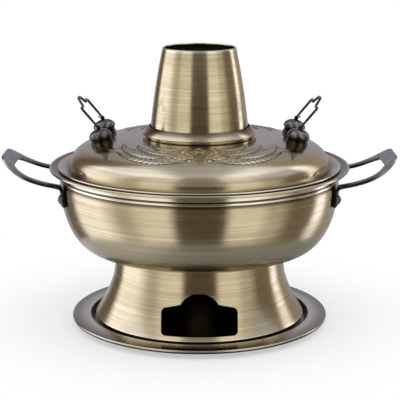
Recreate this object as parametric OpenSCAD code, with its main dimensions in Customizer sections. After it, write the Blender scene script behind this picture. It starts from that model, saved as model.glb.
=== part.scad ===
// Charcoal hot pot with a chimney: drip tray, flared base, bowl, fire tube, lift-off domed lid.
// Millimetres. +Z is up, the air vent faces -Y, the side handles lie on the X axis.
// The origin is on the table, under the middle of the tray.

/* [Sheet] */
// Thickness of the pressed sheet of tray, base, bowl, tube and lid
sheet_t = 1.2; // [0.8:0.1:1.6]

/* [Tray] */
// Width of the drip tray's rim, from the well to the rolled edge
tray_rim_w = 20; // [16:0.5:30]
// Height of the tray's flat rim above the table
tray_h = 9.6; // [7:0.2:14]
// Gap between the base's foot and the upper edge of the well
tray_room = 5.3; // [5:0.1:8]
// Width of the sloping wall of the well
tray_well_slope = 3.2; // [2:0.2:3.6]
// Thickness of the rolled edge
tray_bead_d = 4; // [3:0.2:5]

/* [Base] */
// Outer diameter of the base at its rolled foot
base_foot_d = 226.4; // [222:0.2:228]
// Outer diameter of the base at its neck
base_neck_d = 178.4; // [172:0.2:186]
// Height of the base, from its lower edge to the underside of the bowl
base_h = 81.4; // [76:0.2:90]
// How late the wall flares: 1 is a straight cone
base_flare = 2.1; // [1.6:0.1:2.6]
// Height of the rolled foot above the lower edge
base_hem_z = 8.8; // [7:0.2:11]
// Thickness of the rolled foot
base_hem_d = 3.4; // [2.6:0.2:4]
// Width of the flange that carries the bowl
base_flange_w = 9; // [6:0.5:14]

/* [Vent] */
// Widest width of the air vent
vent_w = 79; // [64:1:90]
// Height of the vent's sill above the base's lower edge
vent_sill = 12.8; // [12:0.2:18]
// Height of the vent's straight sides
vent_side_h = 20; // [16:0.5:24]
// Radius of the round arch over the vent
vent_arch_r = 22.5; // [18:0.5:26]
// Height of the whole vent
vent_h = 40.8; // [36:0.2:46]
// Radius of the vent's lower corners
vent_corner_r = 4; // [3:0.5:6]

/* [Bowl] */
// Largest outer diameter of the bowl
bowl_d = 298; // [290:1:300]
// Height of the bowl, from its underside to the top of the rim
bowl_h = 89.7; // [84:0.1:98]
// Height of the round lower part of the bowl
bowl_round_h = 72; // [62:1:74]
// Width of the round lower part of the bowl
bowl_round_w = 39.6; // [32:0.2:48]
// Diameter over the rim of the bowl
rim_d = 320; // [316:1:330]
// Slope of the rim's flange in degrees
rim_slope = 11; // [8:1:14]
// Thickness of the rolled edge of the rim
rim_bead_d = 3; // [2.4:0.2:3.6]
// How far the band under the rim stands out from the wall
band_proud = 1.2; // [0.8:0.1:1.6]
// Height of the band under the rim
band_h = 8; // [6:0.5:9]

/* [Fire tube] */
// Outer diameter of the fire tube at its mouth
mouth_d = 77.4; // [70:0.2:84]
// Outer diameter of the fire tube inside the bowl
tube_d = 111; // [108:0.5:112]
// Height of the mouth above the rim of the bowl
mouth_rise = 125.3; // [110:0.1:140]
// Length of the part that tapers towards the mouth
taper_len = 157; // [150:1:165]
// How far the tube reaches below the bowl
tube_drop = 9; // [8:0.5:14]
// Thickness of the lip around the mouth
mouth_bead_d = 2; // [1.6:0.1:2.4]

/* [Grate] */
// Thickness of the charcoal grate
grate_t = 3; // [2:0.5:4]
// Number of slots in the grate
grate_slots = 7; // [5:2:7]
// Width of a slot
slot_w = 6; // [4:0.5:7]
// Number of brackets that carry the grate
bracket_count = 3; // [3:1:4]
// Width of a bracket
bracket_w = 12; // [10:1:16]

/* [Lid] */
// Diameter over the lid's brim
brim_d = 302; // [300:1:304]
// Diameter of the lid's dome where it meets the brim
dome_d = 278; // [272:1:282]
// Height of the dome above its foot
dome_h = 33; // [28:0.5:40]
// Radius at which the top of the dome starts to round over
dome_top_r = 70; // [66:1:80]
// Fall of the dome's top towards that radius
dome_fall = 1; // [0.4:0.2:2]
// Diameter of the round hole for the fire tube
lid_hole_d = 110; // [109:0.5:113]
// Height of the upturned neck around the hole
neck_h = 4; // [3:0.5:5]
// Outer diameter of the sloping collar
collar_d = 122.4; // [120:0.2:130]
// Diameter of the opening at the top of the collar
collar_mouth_d = 106.6; // [106:0.2:108]
// Height of the collar above the top of the dome
collar_h = 11.8; // [10:0.2:14]

/* [Knobs] */
// Distance of a knob's middle from the plane between the two bails
knob_x = 101.5; // [98:0.5:104]
// Distance between the two knobs of a pair
knob_pitch = 60; // [54:1:64]
// Lean of the knobs away from the chimney in degrees
knob_lean = 12; // [10:1:14]
// Diameter of a knob
knob_d = 24; // [20:0.5:25]
// Height of a knob above its seat ring
knob_h = 13.4; // [12:0.2:16]
// Height of the seat ring above the dome, at its middle
seat_h = 3.4; // [3:0.2:4.4]
// Diameter of the screw that holds a knob
screw_d = 5; // [4:0.5:6]

/* [Bails] */
// Diameter of the bail's wire
wire_d = 2.1; // [1.8:0.1:2.4]
// Length of the straight part of a bail's leg
bail_leg = 24; // [20:1:28]
// Height of the bail's raised middle above its shoulders
bail_peak = 8.5; // [7:0.5:10]
// Angle above the horizontal at which a bail rests, in degrees
bail_rest = 50; // [46:1:54]

/* [Side handles] */
// Width of the handle's strap
strap_w = 12; // [10:0.5:13]
// Thickness of the handle's strap
strap_t = 3; // [2.4:0.1:3.4]
// Distance between the two legs of a handle at the bowl
handle_pitch = 94; // [84:1:100]
// Distance from the pot's axis to the middle of the grip
grip_x = 204; // [196:1:212]
// Radius of the corners of the grip
grip_r = 17; // [14:1:20]
// Height of the rivets above the underside of the bowl
rivet_z = 61; // [58:0.5:63]
// Length of the leg above the rivet
leg_up = 9; // [8:0.5:12]
// Length of the leg below the rivet
leg_down = 7.5; // [7:0.5:10]
// Diameter of a rivet's head
rivet_head_d = 11; // [8:0.5:11.5]

/* [Clearances] */
// Gap between pieces that lift off each other
lift_gap = 0.3; // [0.2:0.05:0.5]
// Gap between pieces that are joined for good
seat_gap = 0.05; // [0.02:0.01:0.1]
// Radial clearance of a bail's pin in its eye
pin_clear = 0.05; // [0.02:0.01:0.09]

/* [Hidden] */
$fn = 96;

brass_colour = "#a8946a";
brass_dark = "#8b7850";
nickel_colour = "#4a4644";
steel_colour = "#5c5a58";
iron_colour = "#33302e";

// The tray's well follows the base that stands in it
tray_well_d = base_foot_d + 2 * tray_room;
tray_d = tray_well_d + 2 * tray_rim_w;

// Heights of the main levels above the table
foot_z = sheet_t + lift_gap;
bowl_z = foot_z + base_h;
rim_z = bowl_z + bowl_h;
mouth_z = rim_z + mouth_rise;

// Rim of the bowl
bowl_r = bowl_d / 2;
rim_r = rim_d / 2;
bowl_round_z = bowl_z + bowl_round_h;
rim_bead_r = rim_bead_d / 2;
rim_bead_centre_r = rim_r - rim_bead_r;
rim_bead_z = rim_z - rim_bead_r;
// The rim's flange comes in just under the top of its rolled edge
flange_sink = 0.4;
function flange_z(r) = rim_z - flange_sink - (rim_bead_centre_r - r) * tan(rim_slope);
band_drop = 1.2;
band_top_z = flange_z(bowl_r) - sheet_t - band_drop;
band_z = band_top_z - band_h;

// Fire tube: the taper eases into the straight part
tube_r = tube_d / 2;
taper_end_z = mouth_z - taper_len;
function tube_at(z) = z < taper_end_z ? tube_r
    : tube_r - (tube_d - mouth_d) / 2 * pow((z - taper_end_z) / taper_len, 2);

// Lid: the brim lies on the flange, and the dome rises from the brim
brim_r = brim_d / 2;
dome_r = dome_d / 2;
function brim_under_z(r) = flange_z(r) + lift_gap;
dome_foot_z = brim_under_z(dome_r) + sheet_t;
dome_edge_z = dome_foot_z + dome_h - dome_fall;
// Below 1 the dome's section is squarer than an ellipse
dome_power = 0.8;
dome_steps = 16;
function dome_point(turn, inset) = [
    dome_top_r + (dome_r - dome_top_r - inset) * pow(cos(turn), dome_power),
    dome_foot_z + (dome_edge_z - dome_foot_z - inset) * pow(sin(turn), dome_power)];
lid_hole_r = lid_hole_d / 2;
dome_crown_z = dome_edge_z + dome_fall;
function dome_crown_at(r) = dome_crown_z
    - dome_fall * (r - lid_hole_r) / (dome_top_r - lid_hole_r);
// Height of the dome's outer face at radius r, past the start of the round
function dome_at(r) = dome_foot_z + (dome_edge_z - dome_foot_z)
    * pow(sqrt(1 - pow((r - dome_top_r) / (dome_r - dome_top_r), 2 / dome_power)), dome_power);

// Knobs and the bails' hinges
knob_y = knob_pitch / 2;
knob_seat_z = dome_at(norm([knob_x, knob_y]));
knob_r = knob_d / 2;
wire_r = wire_d / 2;
eye_r = wire_r + pin_clear;
eye_wall = 1.2;
lug_r = eye_r + eye_wall;
lug_t = 2.4;
lug_sink = 0.5;
hinge_h = seat_h + knob_h + lug_r - lug_sink;
hinge_x = knob_x + hinge_h * sin(knob_lean);
hinge_z = knob_seat_z + hinge_h * cos(knob_lean);
elbow_r = wire_r + 0.1;
leg_side = lug_t / 2 + lift_gap + elbow_r;
bail_half = knob_y + leg_side;
peg_r = 0.8;
peg_reach = 4;
peg_angle = bail_rest - asin((wire_r + peg_r + lift_gap) / peg_reach);

// Side handles
handle_y = handle_pitch / 2;
rivet_height = bowl_z + rivet_z;
function bowl_at(z) = z > bowl_round_z ? bowl_r
    : bowl_r - bowl_round_w + bowl_round_w * sqrt(1 - pow((bowl_round_z - z) / bowl_round_h, 2));
wall_lean = atan((bowl_at(rivet_height + leg_up) - bowl_at(rivet_height - leg_down))
    / (leg_up + leg_down));
handle_turn = asin(handle_y / bowl_at(rivet_height));

// ---------------------------------------------------------------- helpers

// A ring of round section around the axis, at radius r and height z
module bead(r, z, section_r) {
    translate([0, 0, z]) rotate_extrude() translate([r, 0]) circle(r = section_r, $fn = 32);
}

// Closed skin over a list of equal outlines
module skin(rings) {
    count = len(rings);
    sides = len(rings[0]);
    polyhedron(
        points = [for (ring = rings) for (p = ring) p],
        faces = concat(
            [[for (k = [0 : sides - 1]) k]],
            [[for (k = [sides - 1 : -1 : 0]) (count - 1) * sides + k]],
            [for (i = [0 : count - 2]) for (k = [0 : sides - 1])
                [i * sides + k, (i + 1) * sides + k,
                 (i + 1) * sides + (k + 1) % sides, i * sides + (k + 1) % sides]]));
}

// Copies the children to the four knobs
module at_knobs() {
    for (side = [-1, 1]) for (end = [-1, 1]) at_knob(side, end) children();
}

// Places the children on the dome where a knob stands, with the knob's axis along their Z
module at_knob(side, end) {
    translate([side * knob_x, end * knob_y, knob_seat_z])
        rotate([0, side * knob_lean, 0]) children();
}

// Solid under the dome, up to a face that lies at an inset from the outer one
module dome_solid(inset) {
    rotate_extrude() polygon(concat(
        [[0, dome_foot_z], [dome_r - inset, dome_foot_z]],
        [for (i = [1 : dome_steps]) dome_point(90 * i / dome_steps, inset)],
        [[0, dome_crown_at(0) - inset]]));
}

// ---------------------------------------------------------------- tray

module drip_tray() {
    outer_r = tray_d / 2 - tray_bead_d / 2;
    well_r = tray_well_d / 2;
    floor_r = well_r - tray_well_slope;
    color(brass_colour) {
        rotate_extrude() polygon([
            [0, 0], [floor_r + sheet_t, 0], [well_r + sheet_t, tray_h - 2 * sheet_t],
            [well_r + 2 * sheet_t, tray_h - sheet_t], [outer_r, tray_h - sheet_t],
            [outer_r, tray_h], [well_r + sheet_t / 2, tray_h], [well_r, tray_h - sheet_t],
            [floor_r, sheet_t], [0, sheet_t]]);
        bead(outer_r, tray_h - tray_bead_d / 2, tray_bead_d / 2);
    }
}

// ---------------------------------------------------------------- base

base_hem_r = base_hem_d / 2;
base_band_r = base_foot_d / 2 - base_hem_r;
base_flare_z = foot_z + base_hem_z;
base_top_z = bowl_z - seat_gap;
base_steps = 24;
function base_at(t) = base_neck_d / 2 + (base_foot_d - base_neck_d) / 2 * pow(t, base_flare);
function base_wall_point(t, inset) = [
    base_at(t) - inset, base_top_z - t * (base_top_z - base_flare_z)];

module base_skirt() {
    neck_r = base_neck_d / 2;
    color(brass_colour) difference() {
        union() {
            rotate_extrude() polygon(concat(
                [[neck_r - base_flange_w, base_top_z]],
                [for (i = [0 : base_steps]) base_wall_point(i / base_steps, 0)],
                [[base_band_r, base_flare_z], [base_band_r, foot_z],
                 [base_band_r - sheet_t, foot_z], [base_band_r - sheet_t, base_flare_z]],
                [for (i = [base_steps : -1 : 1]) base_wall_point(i / base_steps, sheet_t)],
                [[neck_r - sheet_t, base_top_z - sheet_t],
                 [neck_r - base_flange_w, base_top_z - sheet_t]]));
            bead(base_band_r, base_flare_z, base_hem_r);
        }
        vent_cut();
    }
}

// Points on an arc, from one angle to another
function arc(centre, r, from, to, steps) = [for (i = [0 : steps])
    let (turn = from + (to - from) * i / steps) centre + r * [cos(turn), sin(turn)]];
function mirrored(points) = [for (i = [len(points) - 1 : -1 : 0]) [-points[i][0], points[i][1]]];

// The vent's outline: a box with sloping shoulders under a round arch
vent_shoulder_r = 6;
vent_shoulder_turn = 70;
vent_arch_turn = 30;
vent_arch_top_turn = 85;
vent_half = vent_w / 2;
vent_sill_z = foot_z + vent_sill;
vent_right_side = concat(
    arc([vent_half - vent_corner_r, vent_sill_z + vent_corner_r], vent_corner_r, -90, 0, 6),
    arc([vent_half - vent_shoulder_r, vent_sill_z + vent_side_h], vent_shoulder_r,
        0, vent_shoulder_turn, 6),
    arc([0, vent_sill_z + vent_h - vent_arch_r], vent_arch_r,
        vent_arch_turn, vent_arch_top_turn, 8));

module vent_cut() {
    rotate([90, 0, 0]) linear_extrude(height = base_foot_d)
        polygon(concat(vent_right_side, mirrored(vent_right_side)));
}

// ---------------------------------------------------------------- bowl

bowl_steps = 20;
function bowl_point(turn, inset) = [
    bowl_r - bowl_round_w + (bowl_round_w - inset) * cos(turn),
    bowl_round_z - (bowl_round_h - inset) * sin(turn)];

module bowl() {
    hole_r = tube_r + seat_gap;
    flange_r = bowl_r - sheet_t;
    band_r = bowl_r + band_proud;
    upper_band_r = band_r - 0.2;
    edge = 0.5;
    groove_r = bowl_r + band_proud / 4;
    groove_low_z = band_z + band_h * 0.37;
    groove_high_z = band_z + band_h * 0.52;
    // The band under the rim, with a groove around it, from its lower edge to the flange
    band = [
        [bowl_r, band_z - edge], [band_r - edge, band_z], [band_r, band_z + edge],
        [band_r, groove_low_z - edge], [groove_r, groove_low_z],
        [groove_r, groove_high_z], [upper_band_r, groove_high_z + edge],
        [upper_band_r, band_top_z], [bowl_r + edge, flange_z(bowl_r) - sheet_t]];
    color(brass_colour) difference() {
        union() {
            rotate_extrude() polygon(concat(
                [[hole_r, bowl_z]],
                [for (i = [bowl_steps : -1 : 0]) bowl_point(90 * i / bowl_steps, 0)],
                band,
                [[rim_bead_centre_r, flange_z(rim_bead_centre_r) - sheet_t],
                 [rim_bead_centre_r, flange_z(rim_bead_centre_r)],
                 [flange_r, flange_z(flange_r)]],
                [for (i = [0 : bowl_steps]) bowl_point(90 * i / bowl_steps, sheet_t)],
                [[hole_r, bowl_z + sheet_t]]));
            bead(rim_bead_centre_r, rim_bead_z, rim_bead_r);
        }
        for (side = [-1, 1]) rivet_holes(side);
    }
}

// ---------------------------------------------------------------- fire tube and grate

tube_bottom_z = bowl_z - tube_drop;
taper_steps = 20;
mouth_bead_r = mouth_bead_d / 2;
taper_top_z = mouth_z - mouth_bead_r;
function taper_point(t, inset) =
    let (z = taper_end_z + (taper_top_z - taper_end_z) * t) [tube_at(z) - inset, z];

module fire_tube() {
    color(brass_colour) difference() {
        union() {
            rotate_extrude() polygon(concat(
                [[tube_r - sheet_t, tube_bottom_z], [tube_r, tube_bottom_z]],
                [for (i = [0 : taper_steps]) taper_point(i / taper_steps, 0)],
                [for (i = [taper_steps : -1 : 0]) taper_point(i / taper_steps, sheet_t)]));
            bead(mouth_d / 2 - mouth_bead_r, taper_top_z, mouth_bead_r);
        }
        bracket_rivet_holes();
    }
}

// The grate drops into the tube and lies on the brackets, above their rivets
grate_play = 0.5;
grate_lift = 8;
grate_r = tube_r - sheet_t - grate_play;
grate_z = tube_bottom_z + grate_lift;

module charcoal_grate() {
    border = 8;
    pitch = 2 * (grate_r - border) / grate_slots;
    color(iron_colour) translate([0, 0, grate_z]) difference() {
        cylinder(r = grate_r, h = grate_t);
        for (i = [0 : grate_slots - 1]) {
            y = (i - (grate_slots - 1) / 2) * pitch;
            slot_l = 2 * sqrt(pow(grate_r - border, 2) - pow(abs(y) + slot_w / 2, 2));
            translate([-slot_l / 2, y - slot_w / 2, -1]) cube([slot_l, slot_w, grate_t + 2]);
        }
    }
}

bracket_t = 2;
bracket_leg = 9;
bracket_tab = 10;
bracket_r = tube_r + seat_gap;
bracket_rivet_d = 3;
bracket_rivet_up = 4.5;
bracket_rivet_head = 1.4;
bracket_rivet_out = 2;

// Copies the children to the brackets, with X pointing away from the axis
module at_brackets() {
    for (i = [0 : bracket_count - 1]) rotate([0, 0, 90 + i * 360 / bracket_count]) children();
}

// Copies the children to the brackets' rivets, with Z pointing outwards from the bracket's inner face
module at_bracket_rivets() {
    at_brackets() translate([bracket_r, 0, tube_bottom_z + bracket_rivet_up])
        rotate([0, 90, 0]) children();
}

module bracket_rivet_holes() {
    depth = 2 * bracket_leg;
    at_bracket_rivets()
        cylinder(d = bracket_rivet_d + 2 * seat_gap, h = depth, center = true, $fn = 32);
}

// Angle brackets outside the tube's lower end, with a tab that reaches in under the grate
module grate_brackets() {
    tab_top_z = tube_bottom_z - seat_gap;
    tab_z = tab_top_z - bracket_t;
    post_top_z = grate_z - seat_gap;
    color(steel_colour) difference() {
        at_brackets() union() {
            intersection() {
                translate([0, -bracket_w / 2, tab_z]) cube([tube_d, bracket_w, bracket_leg]);
                difference() {
                    cylinder(r = bracket_r + bracket_t, h = bowl_z);
                    cylinder(r = bracket_r, h = bowl_z);
                }
            }
            translate([tube_r - bracket_tab, -bracket_w / 2, tab_z])
                cube([bracket_tab + bracket_t / 2, bracket_w, bracket_t]);
            translate([tube_r - bracket_tab, -bracket_w / 2, tab_z])
                cube([bracket_t, bracket_w, post_top_z - tab_z]);
        }
        bracket_rivet_holes();
    }
}

module bracket_rivets() {
    head_z = bracket_t + seat_gap;
    shank_l = head_z + sheet_t + bracket_rivet_out;
    color(steel_colour) at_bracket_rivets() {
        translate([0, 0, head_z - shank_l])
            cylinder(d = bracket_rivet_d, h = shank_l, $fn = 32);
        translate([0, 0, head_z])
            cylinder(d1 = 2 * bracket_rivet_d, d2 = bracket_rivet_d, h = bracket_rivet_head, $fn = 32);
    }
}

// ---------------------------------------------------------------- side handles

handle_gap = 2 * seat_gap;
bend_r = 5;
leg_slope = 15;
grip_rise = 23;
strap_mid_r = bowl_at(rivet_height) + handle_gap + strap_t / 2;
bend_start = [strap_mid_r + leg_up * sin(wall_lean), rivet_height + leg_up * cos(wall_lean)];
bend_centre = bend_start + bend_r * [cos(wall_lean), -sin(wall_lean)];
leg_start = bend_centre + bend_r * [-sin(leg_slope), cos(leg_slope)];
leg_x = leg_start[0] * cos(handle_turn);
leg_y = leg_start[0] * sin(handle_turn);
corner_x = grip_x - grip_r;
leg_arc_r = (corner_x - leg_x) / sin(handle_turn);
corner_y = leg_y + leg_arc_r * (1 - cos(handle_turn));
grip_reach = grip_x - leg_x;
grip_curve = (grip_rise - grip_reach * tan(leg_slope)) / pow(grip_reach, 2);

// Height and slope of the strap's middle over the point at x
function strap_z(x) = leg_start[1] + (x - leg_x) * tan(leg_slope) + pow(x - leg_x, 2) * grip_curve;
function strap_rise(x) = tan(leg_slope) + 2 * (x - leg_x) * grip_curve;

// The strap's cross-section: a flat bar with round edges, four points to a corner
strap_edge_r = 1;
strap_outline = [for (corner = [[1, 1, 0], [-1, 1, 90], [-1, -1, 180], [1, -1, 270]])
    for (turn = [0 : 30 : 90])
        [corner[0] * (strap_w / 2 - strap_edge_r) + strap_edge_r * cos(corner[2] + turn),
         corner[1] * (strap_t / 2 - strap_edge_r) + strap_edge_r * sin(corner[2] + turn)]];

// One outline of the strap, at a place, across a direction and lying on a face normal
function strap_ring(place, along, normal) =
    let (across = cross(normal, along) / norm(cross(normal, along)))
    let (up = cross(along, across) / norm(cross(along, across)))
    [for (p = strap_outline) place + p[0] * across + p[1] * up];

// On the bowl's wall and in the bend: rho is the radius, pitch the strap's angle
function leg_ring(rho, z, pitch) = strap_ring(
    [rho * cos(handle_turn), rho * sin(handle_turn), z],
    [cos(pitch) * cos(handle_turn), cos(pitch) * sin(handle_turn), sin(pitch)],
    [-sin(pitch) * cos(handle_turn), -sin(pitch) * sin(handle_turn), cos(pitch)]);

// From the bend outwards: x and y of the middle, heading is 0 for outwards and -90 along the grip
function loop_ring(x, y, heading) = strap_ring(
    [x, y, strap_z(x)],
    [cos(heading), sin(heading), cos(heading) * strap_rise(x)],
    [-strap_rise(x), 0, 1]);

half_strap = concat(
    [for (s = [-leg_down, leg_up / 2])
        leg_ring(strap_mid_r + s * sin(wall_lean), rivet_height + s * cos(wall_lean),
            90 - wall_lean)],
    [for (i = [0 : 6]) let (pitch = 90 - wall_lean + (leg_slope - 90 + wall_lean) * i / 6)
        leg_ring(bend_centre[0] - bend_r * sin(pitch), bend_centre[1] + bend_r * cos(pitch), pitch)],
    [for (i = [1 : 6]) let (heading = handle_turn * (1 - i / 6))
        loop_ring(leg_x + leg_arc_r * (sin(handle_turn) - sin(heading)),
            leg_y + leg_arc_r * (cos(heading) - cos(handle_turn)), heading)],
    [for (i = [1 : 9]) let (turn = 10 * i)
        loop_ring(corner_x + grip_r * sin(turn), corner_y - grip_r * (1 - cos(turn)), -turn)],
    [loop_ring(grip_x, 0, -90)]);
half_count = len(half_strap);
whole_strap = concat(half_strap, [for (i = [half_count - 2 : -1 : 0])
    [for (p = half_strap[i]) [p[0], -p[1], p[2]]]]);

rivet_d = 5;
rivet_head_h = 3.8;
rivet_tail_d = 8;
rivet_tail_h = 1.2;

// Copies the children to a handle's two rivets, with X along the rivet, pointing outwards
module at_rivets(side) {
    for (end = [-1, 1])
        rotate([0, 0, side > 0 ? end * handle_turn : 180 - end * handle_turn])
            translate([bowl_at(rivet_height), 0, rivet_height])
                rotate([0, wall_lean, 0]) children();
}

module rivet_holes(side) {
    depth = 4 * (strap_t + sheet_t);
    at_rivets(side) rotate([0, 90, 0])
        cylinder(d = rivet_d + 2 * seat_gap, h = depth, center = true, $fn = 32);
}

module side_handle(side) {
    color(steel_colour) difference() {
        mirror([side > 0 ? 0 : 1, 0, 0]) skin(whole_strap);
        rivet_holes(side);
    }
}

// Round head outside the strap, shank, and a flat tail inside the bowl
module handle_rivets(side) {
    head_base = handle_gap + strap_t + seat_gap;
    tail_top = -sheet_t - 3 * seat_gap;
    head_r = rivet_head_d / 2;
    cap_r = (pow(head_r, 2) + pow(rivet_head_h, 2)) / (2 * rivet_head_h);
    color(nickel_colour) at_rivets(side) rotate([0, 90, 0]) {
        translate([0, 0, tail_top]) cylinder(d = rivet_d, h = head_base - tail_top, $fn = 32);
        translate([0, 0, tail_top - rivet_tail_h])
            cylinder(d = rivet_tail_d, h = rivet_tail_h, $fn = 32);
        translate([0, 0, head_base]) intersection() {
            translate([0, 0, rivet_head_h - cap_r]) sphere(r = cap_r, $fn = 48);
            cylinder(r = head_r, h = rivet_head_h, $fn = 48);
        }
    }
}

// ---------------------------------------------------------------- lid

// Holes for the knobs' screws, through the dome and what is clamped to it
module screw_holes() {
    depth = 8 * seat_h;
    at_knobs() cylinder(d = screw_d + 4 * seat_gap, h = depth, center = true, $fn = 32);
}

module lid_dome() {
    neck_top_z = dome_crown_z + neck_h;
    color(brass_colour) difference() {
        rotate_extrude() polygon(concat(
            [[brim_r, brim_under_z(brim_r)], [brim_r, brim_under_z(brim_r) + sheet_t]],
            [for (i = [0 : dome_steps]) dome_point(90 * i / dome_steps, 0)],
            [[lid_hole_r + sheet_t, dome_crown_at(lid_hole_r + sheet_t)],
             [lid_hole_r + sheet_t, neck_top_z], [lid_hole_r, neck_top_z],
             [lid_hole_r, dome_crown_z - sheet_t]],
            [for (i = [dome_steps : -1 : 0]) dome_point(90 * i / dome_steps, sheet_t)],
            [[dome_r - sheet_t, brim_under_z(dome_r - sheet_t)]]));
        screw_holes();
    }
}

// A sloping ring with rounded edges, on a short sleeve around the dome's neck
module lid_collar() {
    top_z = dome_crown_z + collar_h;
    mouth_r = collar_mouth_d / 2;
    outer_r = collar_d / 2;
    edge_z = top_z - (outer_r - mouth_r);
    sleeve_r = lid_hole_r + sheet_t + seat_gap;
    sleeve_z = dome_crown_at(sleeve_r) + seat_gap;
    slant = sheet_t * sqrt(2);
    edge = 0.4;
    color(brass_colour) rotate_extrude() polygon([
        [mouth_r, top_z - slant], [mouth_r, top_z - edge], [mouth_r + edge, top_z],
        [outer_r - edge / 2, edge_z + edge], [outer_r, edge_z], [outer_r - edge, edge_z - edge],
        [sleeve_r + sheet_t, edge_z - edge], [sleeve_r + sheet_t, sleeve_z],
        [sleeve_r, sleeve_z], [sleeve_r, edge_z + edge], [outer_r - slant - edge, edge_z + edge]]);
}

// ---------------------------------------------------------------- knobs

screw_grip = 8;
screw_head_h = 2.4;
washer_drop = sheet_t + 2;
washer_d = 13;
knob_skirt_share = 0.42;
knob_crown_steps = 12;
knob_edge = 0.6;

// side is -1 on the left and 1 on the right, end is -1 in front and 1 at the back
module knob(side, end) {
    skirt_h = knob_h * knob_skirt_share;
    top = seat_h + knob_h;
    post_w = lug_r * 1.7;
    color(nickel_colour) difference() {
        union() {
            at_knob(side, end) translate([0, 0, seat_h + seat_gap]) rotate_extrude() polygon(concat(
                [[0, 0], [knob_r - knob_edge, 0], [knob_r, knob_edge]],
                [for (i = [0 : knob_crown_steps]) let (turn = 90 * i / knob_crown_steps)
                    [knob_r * pow(cos(turn), 0.9), skirt_h + (knob_h - skirt_h) * sin(turn)]]));
            at_knob(side, end) translate([-post_w / 2, -lug_t / 2, top - lug_r])
                cube([post_w, lug_t, hinge_h - top + lug_r]);
            at_hinge(side, end) rotate([90, 0, 0])
                cylinder(r = lug_r, h = lug_t, center = true, $fn = 48);
            at_hinge(side, end) mirror([side > 0 ? 0 : 1, 0, 0]) rotate([0, -peg_angle, 0])
                bail_stop(end);
        }
        at_hinge(side, end) rotate([90, 0, 0])
            cylinder(r = eye_r, h = 2 * lug_t, center = true, $fn = 48);
        at_knob(side, end)
            cylinder(d = screw_d + 2 * seat_gap, h = seat_h + screw_grip + seat_gap, $fn = 32);
    }
}

module at_hinge(side, end) {
    translate([side * hinge_x, end * knob_y, hinge_z]) children();
}

// The arm and peg that stop a bail on its way down, with X pointing along the arm
module bail_stop(end) {
    peg_l = lug_t + lift_gap + wire_d;
    arm_x = (eye_r + lug_r) / 2;
    arm_t = peg_r * 1.5;
    translate([arm_x, -lug_t / 2, -arm_t / 2]) cube([peg_reach - arm_x, lug_t, arm_t]);
    translate([peg_reach, -end * lug_t / 2, 0]) rotate([-end * 90, 0, 0])
        cylinder(r = peg_r, h = peg_l, $fn = 32);
}

// Rings that carry the knobs, with undersides that follow the dome
module knob_seats() {
    depth = 5;
    color(brass_dark) difference() {
        at_knobs() translate([0, 0, -depth]) cylinder(d = knob_d - 2 * knob_edge, h = seat_h + depth);
        dome_solid(-seat_gap);
        screw_holes();
    }
}

module knob_screws() {
    head_z = -washer_drop - seat_gap;
    color(steel_colour) at_knobs() {
        translate([0, 0, head_z])
            cylinder(d = screw_d, h = seat_h + screw_grip - head_z, $fn = 32);
        translate([0, 0, head_z - screw_head_h])
            cylinder(d1 = screw_d * 1.5, d2 = screw_d * 1.8, h = screw_head_h, $fn = 32);
    }
}

// Washers under the dome, whose upper faces follow it
module screw_washers() {
    color(steel_colour) difference() {
        intersection() {
            at_knobs() translate([0, 0, -washer_drop])
                cylinder(d = washer_d, h = washer_drop, $fn = 48);
            dome_solid(sheet_t + seat_gap);
        }
        screw_holes();
    }
}

// ---------------------------------------------------------------- bails

// Smooth curve through the points, with two added points of guidance at its ends
function curve_point(a, b, c, d, t) = 0.5 * (2 * b + (c - a) * t
    + (2 * a - 5 * b + 4 * c - d) * pow(t, 2) + (3 * b - a - 3 * c + d) * pow(t, 3));
function curve(points, steps) = concat(
    [for (i = [1 : len(points) - 3]) for (k = [0 : steps - 1])
        curve_point(points[i - 1], points[i], points[i + 1], points[i + 2], k / steps)],
    [points[len(points) - 2]]);

// How far a bail's pin comes out of its eye
pin_out = 0.8;

// Half of the bail: distance from the hinge along the leg, and distance from its middle
shoulder = bail_leg + 2.4;
bail_guides = [
    [-4, bail_half], [0, bail_half], [bail_leg * 0.5, bail_half], [bail_leg - 2, bail_half],
    [bail_leg + 0.8, bail_half - 0.1], [shoulder, bail_half - 2.2],
    [shoulder - 0.2, bail_half - 6], [shoulder - 0.8, bail_half - 14],
    [shoulder + 0.4, bail_half - 17.5], [shoulder + bail_peak * 0.5, bail_half - 21.5],
    [shoulder + bail_peak * 0.9, bail_half - 25.5], [shoulder + bail_peak, 3],
    [shoulder + bail_peak, 0], [shoulder + bail_peak, -3]];
half_bail = curve(bail_guides, 3);
bail_path = concat(half_bail,
    [for (i = [len(half_bail) - 2 : -1 : 0]) [half_bail[i][0], -half_bail[i][1]]]);

function wire_ring(i) =
    let (last = len(bail_path) - 1)
    let (step = bail_path[min(i + 1, last)] - bail_path[max(i - 1, 0)])
    let (side = [-step[1], step[0]] / norm(step))
    [for (k = [0 : 7]) [bail_path[i][0] + wire_r * cos(45 * k) * side[0],
        bail_path[i][1] + wire_r * cos(45 * k) * side[1], wire_r * sin(45 * k)]];

// The wire with its hinge on the origin, lying outwards along X
module bail_wire() {
    pin_l = bail_half - knob_y + lug_t / 2 + pin_out;
    skin([for (i = [0 : len(bail_path) - 1]) wire_ring(i)]);
    for (end = [-1, 1]) translate([0, end * bail_half, 0]) {
        sphere(r = elbow_r, $fn = 32);
        rotate([end * 90, 0, 0]) cylinder(r = wire_r, h = pin_l, $fn = 48);
    }
}

module bail(side) {
    color(nickel_colour) mirror([side > 0 ? 0 : 1, 0, 0]) translate([hinge_x, 0, hinge_z])
        rotate([0, -bail_rest, 0]) bail_wire();
}

// ---------------------------------------------------------------- the pieces

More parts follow.
